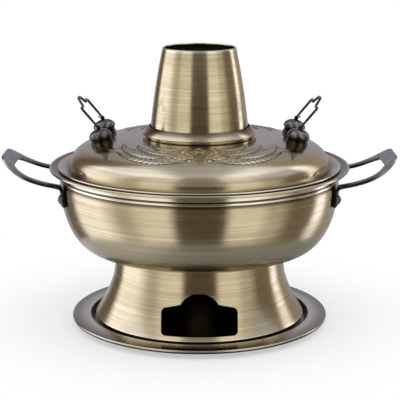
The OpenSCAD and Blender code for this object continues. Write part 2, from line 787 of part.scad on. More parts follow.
module handle_left() { side_handle(-1); }
module handle_right() { side_handle(1); }
module handle_rivets_left() { handle_rivets(-1); }
module handle_rivets_right() { handle_rivets(1); }
module knob_left_front() { knob(-1, -1); }
module knob_left_back() { knob(-1, 1); }
module knob_right_front() { knob(1, -1); }
module knob_right_back() { knob(1, 1); }
module bail_left() { bail(-1); }
module bail_right() { bail(1); }

drip_tray();
base_skirt();
bowl();
fire_tube();
charcoal_grate();
grate_brackets();
bracket_rivets();
handle_left();
handle_right();
handle_rivets_left();
handle_rivets_right();
lid_dome();
lid_collar();
knob_left_front();
knob_left_back();
knob_right_front();
knob_right_back();
knob_seats();
knob_screws();
screw_washers();
bail_left();
bail_right();
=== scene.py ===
import bmesh
import bpy
import numpy as np
from math import acos, asin, atan, cos, degrees, hypot, pi, radians, sin, sqrt, tan
from mathutils import Matrix, Vector


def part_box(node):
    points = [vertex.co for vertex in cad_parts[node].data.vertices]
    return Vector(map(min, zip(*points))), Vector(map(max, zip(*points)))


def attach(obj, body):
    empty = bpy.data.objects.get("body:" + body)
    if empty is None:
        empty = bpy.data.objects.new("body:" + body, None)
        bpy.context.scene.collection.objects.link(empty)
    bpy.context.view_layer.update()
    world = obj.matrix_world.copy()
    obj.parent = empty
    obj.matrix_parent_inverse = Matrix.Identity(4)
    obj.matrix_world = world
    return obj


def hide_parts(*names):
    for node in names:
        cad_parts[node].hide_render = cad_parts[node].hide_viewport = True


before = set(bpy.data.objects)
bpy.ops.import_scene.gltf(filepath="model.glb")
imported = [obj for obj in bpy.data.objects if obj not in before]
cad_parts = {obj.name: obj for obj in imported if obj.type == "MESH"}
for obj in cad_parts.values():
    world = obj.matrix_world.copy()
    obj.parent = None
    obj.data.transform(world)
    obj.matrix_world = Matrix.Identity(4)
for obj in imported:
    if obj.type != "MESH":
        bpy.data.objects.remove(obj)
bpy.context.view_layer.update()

# Lengths in this script are millimetres in the frame's axes, and MM turns them into metres.
MM = 0.001


def corners(node):
    """Lowest and highest corner of a CAD node, in millimetres."""
    low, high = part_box(node)
    return low / MM, high / MM


# ----- sizes
# A size that a CAD node's box gives is read from it, and the others are named here. The numbers
# for the tray's edge and well, the lid's brim and lip and the handles' legs are painted shade (down to
# DARKEST) and painted highlights (up to 1) on the metal.

DARKEST = -1.0
SHEET = 1.2
LIFT_GAP = 0.3
SEAT_GAP = 0.05

tray_high = corners("drip_tray")[1]
base_low, base_high = corners("base_skirt")
bowl_low, bowl_high = corners("bowl")
tube_low, tube_high = corners("fire_tube")
dome_high = corners("lid_dome")[1]
collar_low, collar_high = corners("lid_collar")

TRAY_BEAD = 2
TRAY_RIM = 20
TRAY_SLOPE = 3.2
TRAY_BEAD_FROM = -203
TRAY_BEAD_TO = 90
# Painted shade under the tray's rolled edge, in its well and on the floor next to the base, and a painted
# highlight on the edge's outside
TRAY_UNDER_SHADE = -0.95
TRAY_EDGE_HIGHLIGHT = 0.5
TRAY_WELL_SHADE = -0.9
TRAY_FLOOR_SHADE = -0.6
tray_h = tray_high.z
tray_edge_r = tray_high.x - TRAY_BEAD
tray_well_r = tray_high.x - TRAY_RIM

HEM = 1.7
HEM_Z = 8.8
BASE_NECK_R = 89.2
BASE_FLARE = 2.1
BASE_CREASE = 0.4
BASE_CREASE_POWER = 1.1
BASE_FLANGE = 9
base_foot_z = base_low.z
base_top_z = base_high.z
base_foot_r = base_high.x
base_band_r = base_foot_r - HEM
base_flare_z = base_foot_z + HEM_Z

VENT_SILL = 12.8
VENT_HALF = 39.5
VENT_SIDE = 20
VENT_ARCH = 22.5
VENT_H = 40.8
VENT_CORNER = 4
VENT_SHOULDER = 6

BOWL_R = 149
ROUND_H = 72
ROUND_W = 39.6
RIM_BEAD = 1.5
RIM_SLOPE = tan(radians(11))
FLANGE_SINK = 0.4
BAND_PROUD = 1.2
BAND_H = 8
BAND_DROP = 1.2
BAND_GROOVE = (0.37, 0.52)
BAND_STEP = 0.2
bowl_z = bowl_low.z
rim_z = bowl_high.z
RIM_INSIDE = 0.02
rim_r = bowl_high.x - RIM_INSIDE
rim_bead_r = rim_r - RIM_BEAD
round_z = bowl_z + ROUND_H

MOUTH_R = 38.7
TAPER_LEN = 157
MOUTH_BEAD = 1
mouth_z = tube_high.z
tube_bottom_z = tube_low.z
tube_r = tube_high.x
taper_z = mouth_z - TAPER_LEN

DOME_R = 139
DOME_H = 33
DOME_TOP_R = 70
DOME_FALL = 1
DOME_POWER = 0.8
LID_HOLE_R = 55
NECK_H = 4
LIP_R = 1.1
# A painted highlight on the lid's rolled lip, and painted shade under its brim
LIP_HIGHLIGHT = 0.6
BRIM_UNDER_SHADE = -0.5
brim_r = dome_high.x

COLLAR_MOUTH_R = 53.3
collar_r = collar_high.x
collar_top_z = collar_high.z

KNOB_X = 101.5
KNOB_Y = 30
KNOB_LEAN = radians(12)
KNOB_R = 12
KNOB_H = 13.4
KNOB_BELLY = 0.36
KNOB_TUCK = 1.6
# How far up the knobs' crowns their painted shade reaches
KNOB_SHADE_RISE = 0.3
SEAT_H = 3.4
WIRE_R = 1.05
LOOP_WIRE_R = 1.35
WIRE_SWELL = 1.8
ELBOW_R = WIRE_R + 0.1
PIN_CLEAR = 0.05
LUG_WALL = 1.2
LUG_T = 2.4
LUG_SINK = 0.5
PEG_R = 0.8
PEG_REACH = 4
PIN_OUT = 0.8
BAIL_LEG = 24
BAIL_PEAK = 8.5
BAIL_REST = radians(50)

STRAP_W = 12
GRIP_W = 16.5
STRAP_T = 3
HANDLE_Y = 47
GRIP_X = 202.6
GRIP_R = 27
GRIP_RISE = 22
LEG_UP = 9
LEG_DOWN = 7.5
LEG_BEND = 5
LEG_SLOPE = radians(8)
LEG_TURN = radians(10)
# The upright part's rings stop a little short of the bend, which starts with its own
LEG_SHARE = 0.98
# Painted shade on the handles' legs
LEG_SHADE = -0.95
RIVET_Z = 61
RIVET_HEAD_R = 5.5
RIVET_HEAD_H = 3.8

SEGMENTS = 256
WIRE_SIDES = 16


def flange_z(r):
    """Height of the rim's sloping flange at radius r."""
    return rim_z - FLANGE_SINK - (rim_bead_r - r) * RIM_SLOPE


def bowl_at(z):
    """Outer radius of the bowl at height z."""
    if z > round_z:
        return BOWL_R
    return BOWL_R - ROUND_W + ROUND_W * sqrt(1 - ((round_z - z) / ROUND_H) ** 2)


def tube_at(z):
    """Outer radius of the fire tube at height z."""
    if z < taper_z:
        return tube_r
    return tube_r - (tube_r - MOUTH_R) * ((z - taper_z) / TAPER_LEN) ** 2


def brim_under(r):
    """Height of the lid's brim on its underside at radius r."""
    return flange_z(r) + LIFT_GAP


dome_foot_z = brim_under(DOME_R) + SHEET
dome_edge_z = dome_foot_z + DOME_H - DOME_FALL
dome_crown_z = dome_edge_z + DOME_FALL


def dome_point(turn, inset):
    """A point of the dome's rounded side: turn goes from 0 at the foot to a quarter at the top."""
    return (
        DOME_TOP_R + (DOME_R - DOME_TOP_R - inset) * max(cos(turn), 0) ** DOME_POWER,
        dome_foot_z + (dome_edge_z - dome_foot_z - inset) * sin(turn) ** DOME_POWER)


def dome_crown_at(r):
    return dome_crown_z - DOME_FALL * (r - LID_HOLE_R) / (DOME_TOP_R - LID_HOLE_R)


def dome_side_z(r):
    """Height of the dome's outer face at radius r, on its rounded side. Takes arrays too."""
    share = np.clip((r - DOME_TOP_R) / (DOME_R - DOME_TOP_R), 0, 1) ** (2 / DOME_POWER)
    return dome_foot_z + (dome_edge_z - dome_foot_z) * np.sqrt(1 - share) ** DOME_POWER


# ----- mesh helpers

def arc(centre, radius, start, end, steps):
    """Points on a circle, with its angles in degrees."""
    turns = [radians(start + (end - start) * i / steps) for i in range(steps + 1)]
    return [(centre[0] + radius * cos(t), centre[1] + radius * sin(t)) for t in turns]


SMALL_TURN = radians(20)


def rounded(outline, radius, steps=3):
    """A closed outline whose sharp corners are short arcs. Each point carries its edge wear:
    1 on an outer corner, -1 in an inner one, and elsewhere its own third value or 0. A third
    value below zero is painted shade, and one above zero a painted highlight."""
    made = []
    count = len(outline)
    for i in range(count):
        corner = Vector(outline[i][:2])
        back = Vector(outline[i - 1][:2]) - corner
        ahead = Vector(outline[(i + 1) % count][:2]) - corner
        turn = pi - back.angle(ahead)
        if turn < SMALL_TURN or corner.x < SHEET:
            made.append((corner.x, corner.y, outline[i][2] if len(outline[i]) > 2 else 0.0))
            continue
        wear_and_painted_light = 1.0 if back.cross(ahead) < 0 else -1.0
        reach = min(radius * tan(turn / 2), back.length * 0.4, ahead.length * 0.4)
        start = corner + back.normalized() * reach
        end = corner + ahead.normalized() * reach
        for k in range(steps + 1):
            t = k / steps
            p = start * (1 - t) ** 2 + corner * 2 * t * (1 - t) + end * t ** 2
            made.append((p.x, p.y, wear_and_painted_light))
    return made


def add_object(name, data):
    """An object in the scene that shows a mesh, lamp or camera."""
    made = bpy.data.objects.new(name, data)
    bpy.context.scene.collection.objects.link(made)
    return made


def smooth(mesh, smooth_to=40):
    """Smooth shading, with edges sharper than the angle left sharp."""
    mesh.shade_smooth()
    mesh.set_sharp_from_angle(angle=radians(smooth_to))


def build(name, verts, faces):
    """A smooth-shaded mesh object from points in millimetres."""
    mesh = bpy.data.meshes.new(name)
    mesh.from_pydata([tuple(c * MM for c in v) for v in verts], [], faces)
    smooth(mesh)
    return add_object(name, mesh)


def rework(mesh, change):
    """Applies a change that works on a bmesh."""
    work = bmesh.new()
    work.from_mesh(mesh)
    change(work)
    work.to_mesh(mesh)
    work.free()
    smooth(mesh)


def outward(piece):
    """Turns every face of a closed mesh outwards."""
    rework(piece.data, lambda work: bmesh.ops.recalc_face_normals(work, faces=work.faces))
    return piece


def lathe(name, outline, segments=SEGMENTS, second=None):
    """The outline turned around Z. second says of a face's middle and outward normal, both as
    radius and height, whether it takes the piece's second material."""
    area = sum(a[0] * b[1] - b[0] * a[1] for a, b in zip(outline, outline[1:] + outline[:1]))
    if area < 0:
        outline = outline[::-1]
    count = len(outline)
    turns = np.linspace(0, 2 * pi, segments, endpoint=False)
    rings = np.array([p[:2] for p in outline])
    verts = np.stack([
        np.outer(rings[:, 0], np.cos(turns)),
        np.outer(rings[:, 0], np.sin(turns)),
        np.repeat(rings[:, 1:2], segments, axis=1)], axis=2).reshape(-1, 3)
    faces, slots = [], []
    for i in range(count):
        j = (i + 1) % count
        a, b = rings[i], rings[j]
        if a[0] < SEAT_GAP and b[0] < SEAT_GAP:
            continue
        step = b - a
        normal = (step[1] / np.linalg.norm(step), -step[0] / np.linalg.norm(step))
        slot = 1 if second and second((a + b) / 2, normal) else 0
        for k in range(segments):
            n = (k + 1) % segments
            faces.append((i * segments + k, i * segments + n, j * segments + n, j * segments + k))
            slots.append(slot)
    piece = build(name, verts, faces)
    mesh = piece.data
    mesh.polygons.foreach_set("material_index", slots)
    wear_and_painted_light = [p[2] if len(p) > 2 else 0.0 for p in outline]
    set_wear_and_painted_light(mesh, np.repeat(np.array(wear_and_painted_light, np.float32), segments))
    if rings[:, 0].min() < SEAT_GAP:
        rework(mesh, lambda work: bmesh.ops.remove_doubles(
            work, verts=work.verts, dist=SEAT_GAP * MM / 10))
    return piece


def set_wear_and_painted_light(mesh, values):
    """Stores one value for each point, which the materials read. It holds patina and worn edges, and also
    painted shade and painted highlights.
    """
    layer = mesh.attributes.new("wear_and_painted_light", "FLOAT", "POINT")
    layer.data.foreach_set("value", values)


def sweep(name, rings):
    """A closed skin over equal rings of points, with flat ends."""
    sides = len(rings[0])
    verts = [p for ring in rings for p in ring]
    faces = []
    for i in range(len(rings) - 1):
        for k in range(sides):
            n = (k + 1) % sides
            faces.append((i * sides + k, i * sides + n, (i + 1) * sides + n, (i + 1) * sides + k))
    last = (len(rings) - 1) * sides
    faces.append(tuple(range(sides))[::-1])
    faces.append(tuple(last + k for k in range(sides)))
    return outward(build(name, verts, faces))


def wire(name, path, radius):
    """A round bar along a path, with its rings carried along without twist. The radius is one
    number, or one for each point."""
    points = [Vector(p) for p in path]
    across = None
    rings = []
    for i, p in enumerate(points):
        along = (points[min(i + 1, len(points) - 1)] - points[max(i - 1, 0)]).normalized()
        if across is None:
            across = along.orthogonal().normalized()
        across = (across - along * across.dot(along)).normalized()
        up = along.cross(across)
        reach = radius[i] if isinstance(radius, list) else radius
        rings.append([p + (across * cos(t) + up * sin(t)) * reach
                      for t in (2 * pi * k / WIRE_SIDES for k in range(WIRE_SIDES))])
    return sweep(name, rings)


def place(piece, matrix):
    """Moves a piece's points by a matrix in millimetres, and leaves its object at the origin."""
    metres = matrix.copy()
    metres.translation = matrix.translation * MM
    piece.data.transform(metres)
    return piece


def join(name, pieces):
    """One mesh object out of several, with their materials kept."""
    first = pieces[0]
    with bpy.context.temp_override(
            active_object=first, object=first,
            selected_objects=pieces, selected_editable_objects=pieces):
        bpy.ops.object.join()
    first.name = name
    first.data.name = name
    return first


def cut(piece, cutter):
    """Cuts one mesh out of another, and keeps the result as the piece's own mesh."""
    step = piece.modifiers.new("cut", "BOOLEAN")
    step.object = cutter
    step.solver = "EXACT"
    bpy.context.view_layer.update()
    graph = bpy.context.evaluated_depsgraph_get()
    mesh = bpy.data.meshes.new_from_object(piece.evaluated_get(graph))
    piece.modifiers.remove(step)
    piece.data = mesh
    bpy.data.objects.remove(cutter)
    smooth(mesh, 30)
    return piece


def finish_piece(piece, body, nodes, slot, *materials):
    """Gives a piece its materials and its body, and hides the CAD nodes that it stands for. The slot is
    not used.
    """
    piece.data.materials.clear()
    for material in materials:
        piece.data.materials.append(material)
    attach(piece, body)
    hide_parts(*nodes)
    return piece


# ----- materials

class Nodes:
    """A short way to write a node tree."""

    def __init__(self, tree):
        self.tree = tree
        tree.nodes.clear()

    def add(self, kind, inputs=None, **settings):
        node = self.tree.nodes.new("ShaderNode" + kind)
        for key, value in settings.items():
            setattr(node, key, value)
        for key, value in (inputs or {}).items():
            self.put(node.inputs[key], value)
        return node

    def put(self, socket, value):
        if isinstance(value, bpy.types.NodeSocket):
            self.tree.links.new(value, socket)
        else:
            socket.default_value = value

    def math(self, operation, *values):
        node = self.add("Math", operation=operation)
        for socket, value in zip(node.inputs, values):
            self.put(socket, value)
        return node.outputs[0]

    def times(self, a, b):
        return self.math("MULTIPLY", a, b)

    def object_place(self):
        return self.add("TexCoord").outputs["Object"]

    def smooth(self, value, low, high, to_low=0.0, to_high=1.0):
        return self.add("MapRange", {
            "Value": value, "From Min": low, "From Max": high, "To Min": to_low, "To Max": to_high},
            interpolation_type="SMOOTHSTEP").outputs["Result"]

    def mix(self, share, a, b, blend="MIX"):
        return self.add("Mix", {"Factor": share, "A": a, "B": b},
                        data_type="RGBA", blend_type=blend).outputs["Result"]

    def noise(self, vector, scale, detail, w=None):
        node = self.add("TexNoise", {"Vector": vector, "Scale": scale, "Detail": detail},
                        noise_dimensions="4D" if w is not None else "3D")
        if w is not None:
            self.put(node.inputs["W"], w)
        return node.outputs["Fac"]

    def wear_and_painted_light(self):
        return self.add("Attribute", attribute_name="wear_and_painted_light").outputs["Fac"]

    def show(self, shader, output="OutputMaterial"):
        self.add(output, {"Surface": shader.outputs[0]})

    def surface(self, height, strength, depth, inputs):
        """The material's shader with a bump, whose depth is in millimetres."""
        bump = self.add("Bump", {"Height": height, "Strength": strength, "Distance": depth * MM})
        self.show(self.add("BsdfPrincipled", {**inputs, "Normal": bump.outputs[0]}))


def rgb(r, g, b):
    return (r, g, b, 1.0)


def new_material(name):
    material = bpy.data.materials.new(name)
    material.use_nodes = True
    return material, Nodes(material.node_tree)


def turned_noise(n, per_m, detail, around):
    """Noise in thin lines around Z, as turning or brushing leaves them. The last value says how
    much the lines change on their way around."""
    x, y, z = n.add("SeparateXYZ", {"Vector": n.object_place()}).outputs
    radius = n.math("MAXIMUM", n.math("SQRT", n.math("ADD", n.times(x, x), n.times(y, y))), MM)
    grain_at = n.add("CombineXYZ", {
        "X": n.times(radius, per_m),
        "Y": n.times(z, per_m),
        "Z": n.times(n.math("DIVIDE", x, radius), around)})
    return n.noise(grain_at.outputs[0], 1.0, detail, w=n.times(n.math("DIVIDE", y, radius), around))


# Patina for hollows, which on the tray, the bowl's flange and the lid's brim is painted shade
PATINA_AND_SHADE = rgb(0.075, 0.055, 0.03)
# Painted shade: the near-black tone on the knobs' lower halves and the handles' legs
PAINTED_SHADE_BLACK = rgb(0.02, 0.017, 0.015)
# Brush marks: how many a metre, how much detail, and how much they change around Z
FINE_MARKS = (1500.0, 2.0, 1.6)
LINE_MARKS = (560.0, 2.0, 0.7)
BAND_MARKS = (140.0, 1.0, 0.3)
BRUSH_DEPTH = 0.01


def brushed_metal(name, colour, dark, bright, roughness, anisotropy):
    """Metal brushed around Z, with uneven patina, almost black in corners and bright on edges, and with
    painted shade and painted highlights where its points carry them.
    """
    material, n = new_material(name)
    fine = turned_noise(n, *FINE_MARKS)
    lines = turned_noise(n, *LINE_MARKS)
    bands = turned_noise(n, *BAND_MARKS)
    cloud = n.noise(n.object_place(), 16.0, 3.0)
    wear_and_painted_light = n.wear_and_painted_light()
    tone = colour
    for value, low, high, share, other in (
            (cloud, 0.3, 0.7, 0.25, dark), (bands, 0.4, 0.7, 0.22, dark),
            (lines, 0.45, 0.75, 0.28, dark), (lines, 0.5, 0.25, 0.28, bright),
            # Above zero bright: worn edges and painted highlights; below zero dark: patina and painted
            # shade
            (fine, 0.3, 0.72, 0.2, dark), (wear_and_painted_light, 0.0, 1.0, 0.75, bright),
            (wear_and_painted_light, 0.0, -1.0, 0.9, PATINA_AND_SHADE)):
        tone = n.mix(n.smooth(value, low, high, 0.0, share), tone, other)
    rough = n.math("ADD", n.smooth(fine, 0.2, 0.8, roughness - 0.05, roughness + 0.06),
                   n.smooth(bands, 0.3, 0.7, -0.02, 0.04))
    height = n.math("ADD", fine, n.times(lines, 1.5))
    tangent = n.add("Tangent", direction_type="RADIAL", axis="Z")
    n.surface(height, 0.5, BRUSH_DEPTH, {
        "Base Color": tone, "Metallic": 1.0, "Roughness": rough, "Anisotropic": anisotropy,
        "Anisotropic Rotation": 0.25, "Tangent": tangent.outputs[0]})
    return material


def polished_metal(name, colour, dark, roughness, lines_per_m, bump_depth):
    """Smooth metal with faint smears, small dents and fine scratches, black where its points carry
    painted shade.
    """
    material, n = new_material(name)
    spot = n.object_place()
    smear = n.noise(spot, 60.0, 3.0)
    dents = n.noise(spot, 180.0, 2.0)
    stretched = n.add("Mapping", {"Vector": spot, "Scale": (1.0, 0.12, 1.0)})
    scratch = n.noise(stretched.outputs[0], lines_per_m, 2.0)
    tone = n.mix(n.smooth(smear, 0.3, 0.7), colour, dark)
    # Painted shade: below zero the metal turns near black
    tone = n.mix(n.smooth(n.wear_and_painted_light(), 0.0, -1.0), tone, PAINTED_SHADE_BLACK)
    rough = n.math("ADD", n.smooth(smear, 0.3, 0.7, roughness - 0.03, roughness + 0.05),
                   n.smooth(scratch, 0.55, 0.75, 0.0, 0.06))
    height = n.math("ADD", dents, n.times(scratch, 0.25))
    n.surface(height, 0.35, bump_depth, {"Base Color": tone, "Metallic": 1.0, "Roughness": rough})
    return material


def soot_and_shade(name, colour, ash):
    """Blackened, rough and matt metal with a trace of grey ash: soot on the grate, and painted shade
    inside the base and the fire tube.
    """
    material, n = new_material(name)
    spot = n.object_place()
    cloud = n.noise(spot, 45.0, 4.0)
    grit = n.noise(spot, 700.0, 3.0)
    tone = n.mix(n.smooth(cloud, 0.45, 0.8, 0.0, 0.5), colour, ash)
    n.surface(grit, 0.6, 0.2, {
        "Base Color": tone, "Metallic": 0.0, "Specular IOR Level": 0.2,
        "Roughness": n.smooth(grit, 0.3, 0.7, 0.75, 0.95)})
    return material


BRASS_DARK = rgb(0.28, 0.21, 0.095)
BRASS_BRIGHT = rgb(0.88, 0.82, 0.66)

brass = brushed_metal(
    "brushed_brass", rgb(0.66, 0.56, 0.36), BRASS_DARK, BRASS_BRIGHT, roughness=0.17, anisotropy=0.6)
# The tray's brass is a darker copy of the same brass: painted shade on the whole tray
shaded_tray_brass = brushed_metal(
    "shaded_tray_brass", rgb(0.30, 0.255, 0.19), BRASS_DARK, BRASS_BRIGHT, roughness=0.2, anisotropy=0.5)
# The rim's brass is a darker, greyer copy of the same brass: painted shade and a painted grey reflection
# on the band and rim
shaded_rim_brass = brushed_metal(
    "shaded_rim_brass", rgb(0.26, 0.24, 0.23), rgb(0.12, 0.1, 0.08), rgb(0.5, 0.47, 0.43),
    roughness=0.2, anisotropy=0.5)
# Roughness, scratches a metre and the depth of the dents in millimetres follow the colours
nickel = polished_metal("dark_nickel", rgb(0.2, 0.175, 0.165), rgb(0.1, 0.085, 0.075), 0.08, 500, 0.03)
bronze = polished_metal("seat_bronze", rgb(0.07, 0.06, 0.04), rgb(0.04, 0.034, 0.022), 0.25, 500, 0.03)
wire_metal = polished_metal(
    "wire_nickel", rgb(0.06, 0.057, 0.055), rgb(0.03, 0.028, 0.027), 0.16, 400, 0.02)
strap_metal = polished_metal("strap_steel", rgb(0.36, 0.36, 0.31), rgb(0.2, 0.2, 0.17), 0.12, 350, 0.04)
plain_steel = polished_metal("plain_steel", rgb(0.3, 0.29, 0.28), rgb(0.18, 0.175, 0.17), 0.35, 500, 0.05)
# Painted shade: a near-black, matt sheet inside the base and the fire tube, where little light reaches
painted_inside_shade = soot_and_shade("painted_inside_shade", rgb(0.004, 0.004, 0.004), rgb(0.01, 0.009, 0.008))
iron = soot_and_shade("grate_iron", rgb(0.03, 0.028, 0.026), rgb(0.09, 0.085, 0.08))


# ----- turned pieces

def tray_bead_shade_and_highlight(turn):
    """The tray's rolled edge has painted shade underneath and a painted highlight on its outside. Turn is
    in degrees.
    """
    if turn < 5:
        return TRAY_UNDER_SHADE
    return TRAY_EDGE_HIGHLIGHT if turn < 50 else 0.0


def make_tray():
    floor_r = tray_well_r - TRAY_SLOPE
    under_z = tray_h - SHEET
    steps = 28
    rolled = arc((tray_edge_r, tray_h - TRAY_BEAD), TRAY_BEAD, TRAY_BEAD_FROM, TRAY_BEAD_TO, steps)
    turns = np.linspace(TRAY_BEAD_FROM, TRAY_BEAD_TO, steps + 1)
    bead = [(r, z, tray_bead_shade_and_highlight(turn)) for (r, z), turn in zip(rolled, turns)]
    # Painted shade in the well where the base stands
    outline = [
        (0, 0), (floor_r + SHEET, 0), (tray_well_r + SHEET, under_z - SHEET),
        (tray_well_r + 2 * SHEET, under_z), *bead,
        (tray_well_r + SHEET / 2, tray_h), (tray_well_r, under_z, TRAY_WELL_SHADE),
        (floor_r, SHEET, TRAY_WELL_SHADE), (floor_r - 2 * SHEET, SHEET, TRAY_FLOOR_SHADE), (0, SHEET)]
    piece = lathe("tray", rounded(outline, 1.0))
    return finish_piece(piece, "tray", ["drip_tray"], "antique_brass", shaded_tray_brass)


def vent_outline():
    """The vent's outline in X and Z: a box with sloping shoulders under a round arch."""
    sill_z = base_foot_z + VENT_SILL
    side = [
        *arc((VENT_HALF - VENT_CORNER, sill_z + VENT_CORNER), VENT_CORNER, -90, 0, 8),
        *arc((VENT_HALF - VENT_SHOULDER, sill_z + VENT_SIDE), VENT_SHOULDER, 0, 70, 8),
        *arc((0, sill_z + VENT_H - VENT_ARCH), VENT_ARCH, 30, 85, 12)]
    return side + [(-x, z) for x, z in side[::-1]]


def make_base():
    wall_steps = 60
    top = base_top_z

    def wall(t, inset):
        flare = t ** BASE_FLARE
        if t < BASE_CREASE:
            flare = BASE_CREASE ** BASE_FLARE * (t / BASE_CREASE) ** BASE_CREASE_POWER
        return (BASE_NECK_R + (base_foot_r - BASE_NECK_R) * flare - inset,
                top - t * (top - base_flare_z))

    outline = [
        (base_band_r - SHEET, base_foot_z), (base_band_r, base_foot_z),
        *arc((base_band_r, base_flare_z), HEM, -90, -10, 10),
        *[wall(1 - i / wall_steps, 0) for i in range(wall_steps)],
        (BASE_NECK_R, top), (BASE_NECK_R - BASE_FLANGE, top),
        (BASE_NECK_R - BASE_FLANGE, top - SHEET), (BASE_NECK_R - SHEET, top - SHEET),
        *[wall(i / wall_steps, SHEET) for i in range(2, wall_steps + 1)]]
    # Faces turned inwards and the flange's underside in the neck take the painted shade inside the base
    piece = lathe("base", rounded(outline, 0.5), segments=360,
                  second=lambda middle, normal: normal[0] < -0.2 or (
                      normal[1] < -0.5 and middle[0] < BASE_NECK_R))
    outline_2d = vent_outline()
    count = len(outline_2d)
    verts = [(x, y, z) for y in (0, -1.2 * base_foot_r) for x, z in outline_2d]
    faces = [tuple(range(count)), tuple(range(2 * count - 1, count - 1, -1))]
    faces += [(k, k + count, (k + 1) % count + count, (k + 1) % count) for k in range(count)]
    cutter = outward(build("vent_cutter", verts, faces))
    cutter.data.materials.append(brass)
    piece.data.materials.append(brass)
    piece.data.materials.append(painted_inside_shade)
    cut(piece, cutter)
    return finish_piece(piece, "pot", ["base_skirt"], "antique_brass", brass, painted_inside_shade)


def make_bowl():
    wall_steps = 48
    hole_r = tube_r + SEAT_GAP

    def wall(turn, inset):
        return (BOWL_R - ROUND_W + (ROUND_W - inset) * cos(turn),
                round_z - (ROUND_H - inset) * sin(turn))

    turns = [pi / 2 * i / wall_steps for i in range(wall_steps + 1)]
    band_top = flange_z(BOWL_R) - SHEET - BAND_DROP
    band_z = band_top - BAND_H
    band_r = BOWL_R + BAND_PROUD
    upper_r = band_r - BAND_STEP
    shadow_r = rim_bead_r - RIM_BEAD * 1.3
    edge = 0.5
    groove_r = BOWL_R + BAND_PROUD / 4
    groove_low, groove_high = (band_z + BAND_H * share for share in BAND_GROOVE)
    outline = [
        (hole_r, bowl_z), *[wall(t, 0) for t in turns[::-1]],
        (BOWL_R, band_z - edge), (band_r - edge, band_z), (band_r, band_z + edge),
        (band_r, groove_low - edge), (groove_r, groove_low), (groove_r, groove_high),
        (upper_r, groove_high + edge), (upper_r, band_top),
        (BOWL_R + edge, flange_z(BOWL_R) - SHEET),
        *arc((rim_bead_r, rim_z - RIM_BEAD), RIM_BEAD, -165, 145, 24),
        # Painted shade, near black, on the flange under the lid's brim
        (shadow_r, flange_z(shadow_r), DARKEST),
        (brim_r - LIP_R, flange_z(brim_r - LIP_R), DARKEST),
        (BOWL_R - SHEET, flange_z(BOWL_R - SHEET)), *[wall(t, SHEET) for t in turns],
        (hole_r, bowl_z + SHEET)]
    # Faces outside the wall, the band and the rim, take the darker copy: painted shade
    piece = lathe("bowl_shell", rounded(outline, 0.5), segments=320,
                  second=lambda middle, normal: middle[0] > BOWL_R + SHEET / 2)
    return finish_piece(piece, "pot", ["bowl"], "antique_brass", brass, shaded_rim_brass)


def make_tube():
    steps = 60
    top = mouth_z - MOUTH_BEAD
    levels = [taper_z + (top - taper_z) * i / steps for i in range(steps + 1)]
    outline = [
        (tube_r - SHEET, tube_bottom_z), (tube_r, tube_bottom_z),
        (tube_r, base_top_z), *[(tube_at(z), z) for z in levels],
        *arc((MOUTH_R - MOUTH_BEAD, top), MOUTH_BEAD, 15, 258, 16),
        *[(tube_at(z) - SHEET, z) for z in levels[-2::-1]]]
    # The tube's part inside the base and its inner face take the painted shade
    piece = lathe("chimney", rounded(outline, 0.4),
                  second=lambda middle, normal: middle[1] < base_top_z or (
                      normal[0] < -0.5 and middle[1] < top))
    return finish_piece(piece, "pot", ["fire_tube"], "antique_brass", brass, painted_inside_shade)


# The ornament on the lid: generic plumes and scrolls pressed into the sheet, drawn once on a flat
# strip. Across the strip runs the radius, along it the way around the lid from the middle of the
# front or back, so the drawing shows mirrored at four places.
ORNAMENT_R = 88
ORNAMENT_LOW = 62
ORNAMENT_HIGH = 121
ORNAMENT_STEP = 0.55
LINE_W = 0.85
LINE_DEPTH = 0.5
LEAF_RISE = 0.9
SCROLL_POINTS = 29


def bend(a, b, c, steps=16):
    """Points on the curve that leaves a towards b and ends in c."""
    shares = np.linspace(0, 1, steps + 1)[:, None]
    a, b, c = (np.array(p, float) for p in (a, b, c))
    return a * (1 - shares) ** 2 + 2 * b * shares * (1 - shares) + c * shares ** 2


def scroll(centre, radius, start, turns):
    """A spiral that runs into its centre. Turns below zero wind it the other way."""
    shares = np.linspace(0, 1, SCROLL_POINTS)
    angle = radians(start) + shares * turns * 2 * pi
    reach = radius * (1 - 0.8 * shares)
    return np.stack([centre[0] + reach * np.cos(angle), centre[1] + reach * np.sin(angle)], axis=1)


def plume(base, through, tip, width, barbs):
    """A long feather: a raised leaf, its outline, its midrib and the barbs on both sides."""
    middle = bend(base, through, tip)
    along = np.gradient(middle, axis=0)
    across = np.stack([-along[:, 1], along[:, 0]], axis=1) / np.linalg.norm(along, axis=1)[:, None]
    share = np.linspace(0, 1, len(middle))
    half = width * np.sin(pi * share ** 0.8) ** 0.7
    strokes = [(middle, half * 1.15 + 0.2, LEAF_RISE), (middle, LINE_W, -LINE_DEPTH)]

    def along_path(path, at):
        return np.array([np.interp(at, share, path[:, k]) for k in (0, 1)])

    for sign in (-1, 1):
        edge = middle + sign * across * half[:, None]
        strokes.append((edge, LINE_W, -LINE_DEPTH))
        for i in range(barbs):
            at = (i + 0.6) / (barbs + 0.6) * 0.86
            root = along_path(middle, at)
            end = along_path(edge, min(at + 0.09, 1.0))
            strokes.append((np.array([root, root + (end - root) * 0.9]), LINE_W * 0.7, -LINE_DEPTH))
    return strokes


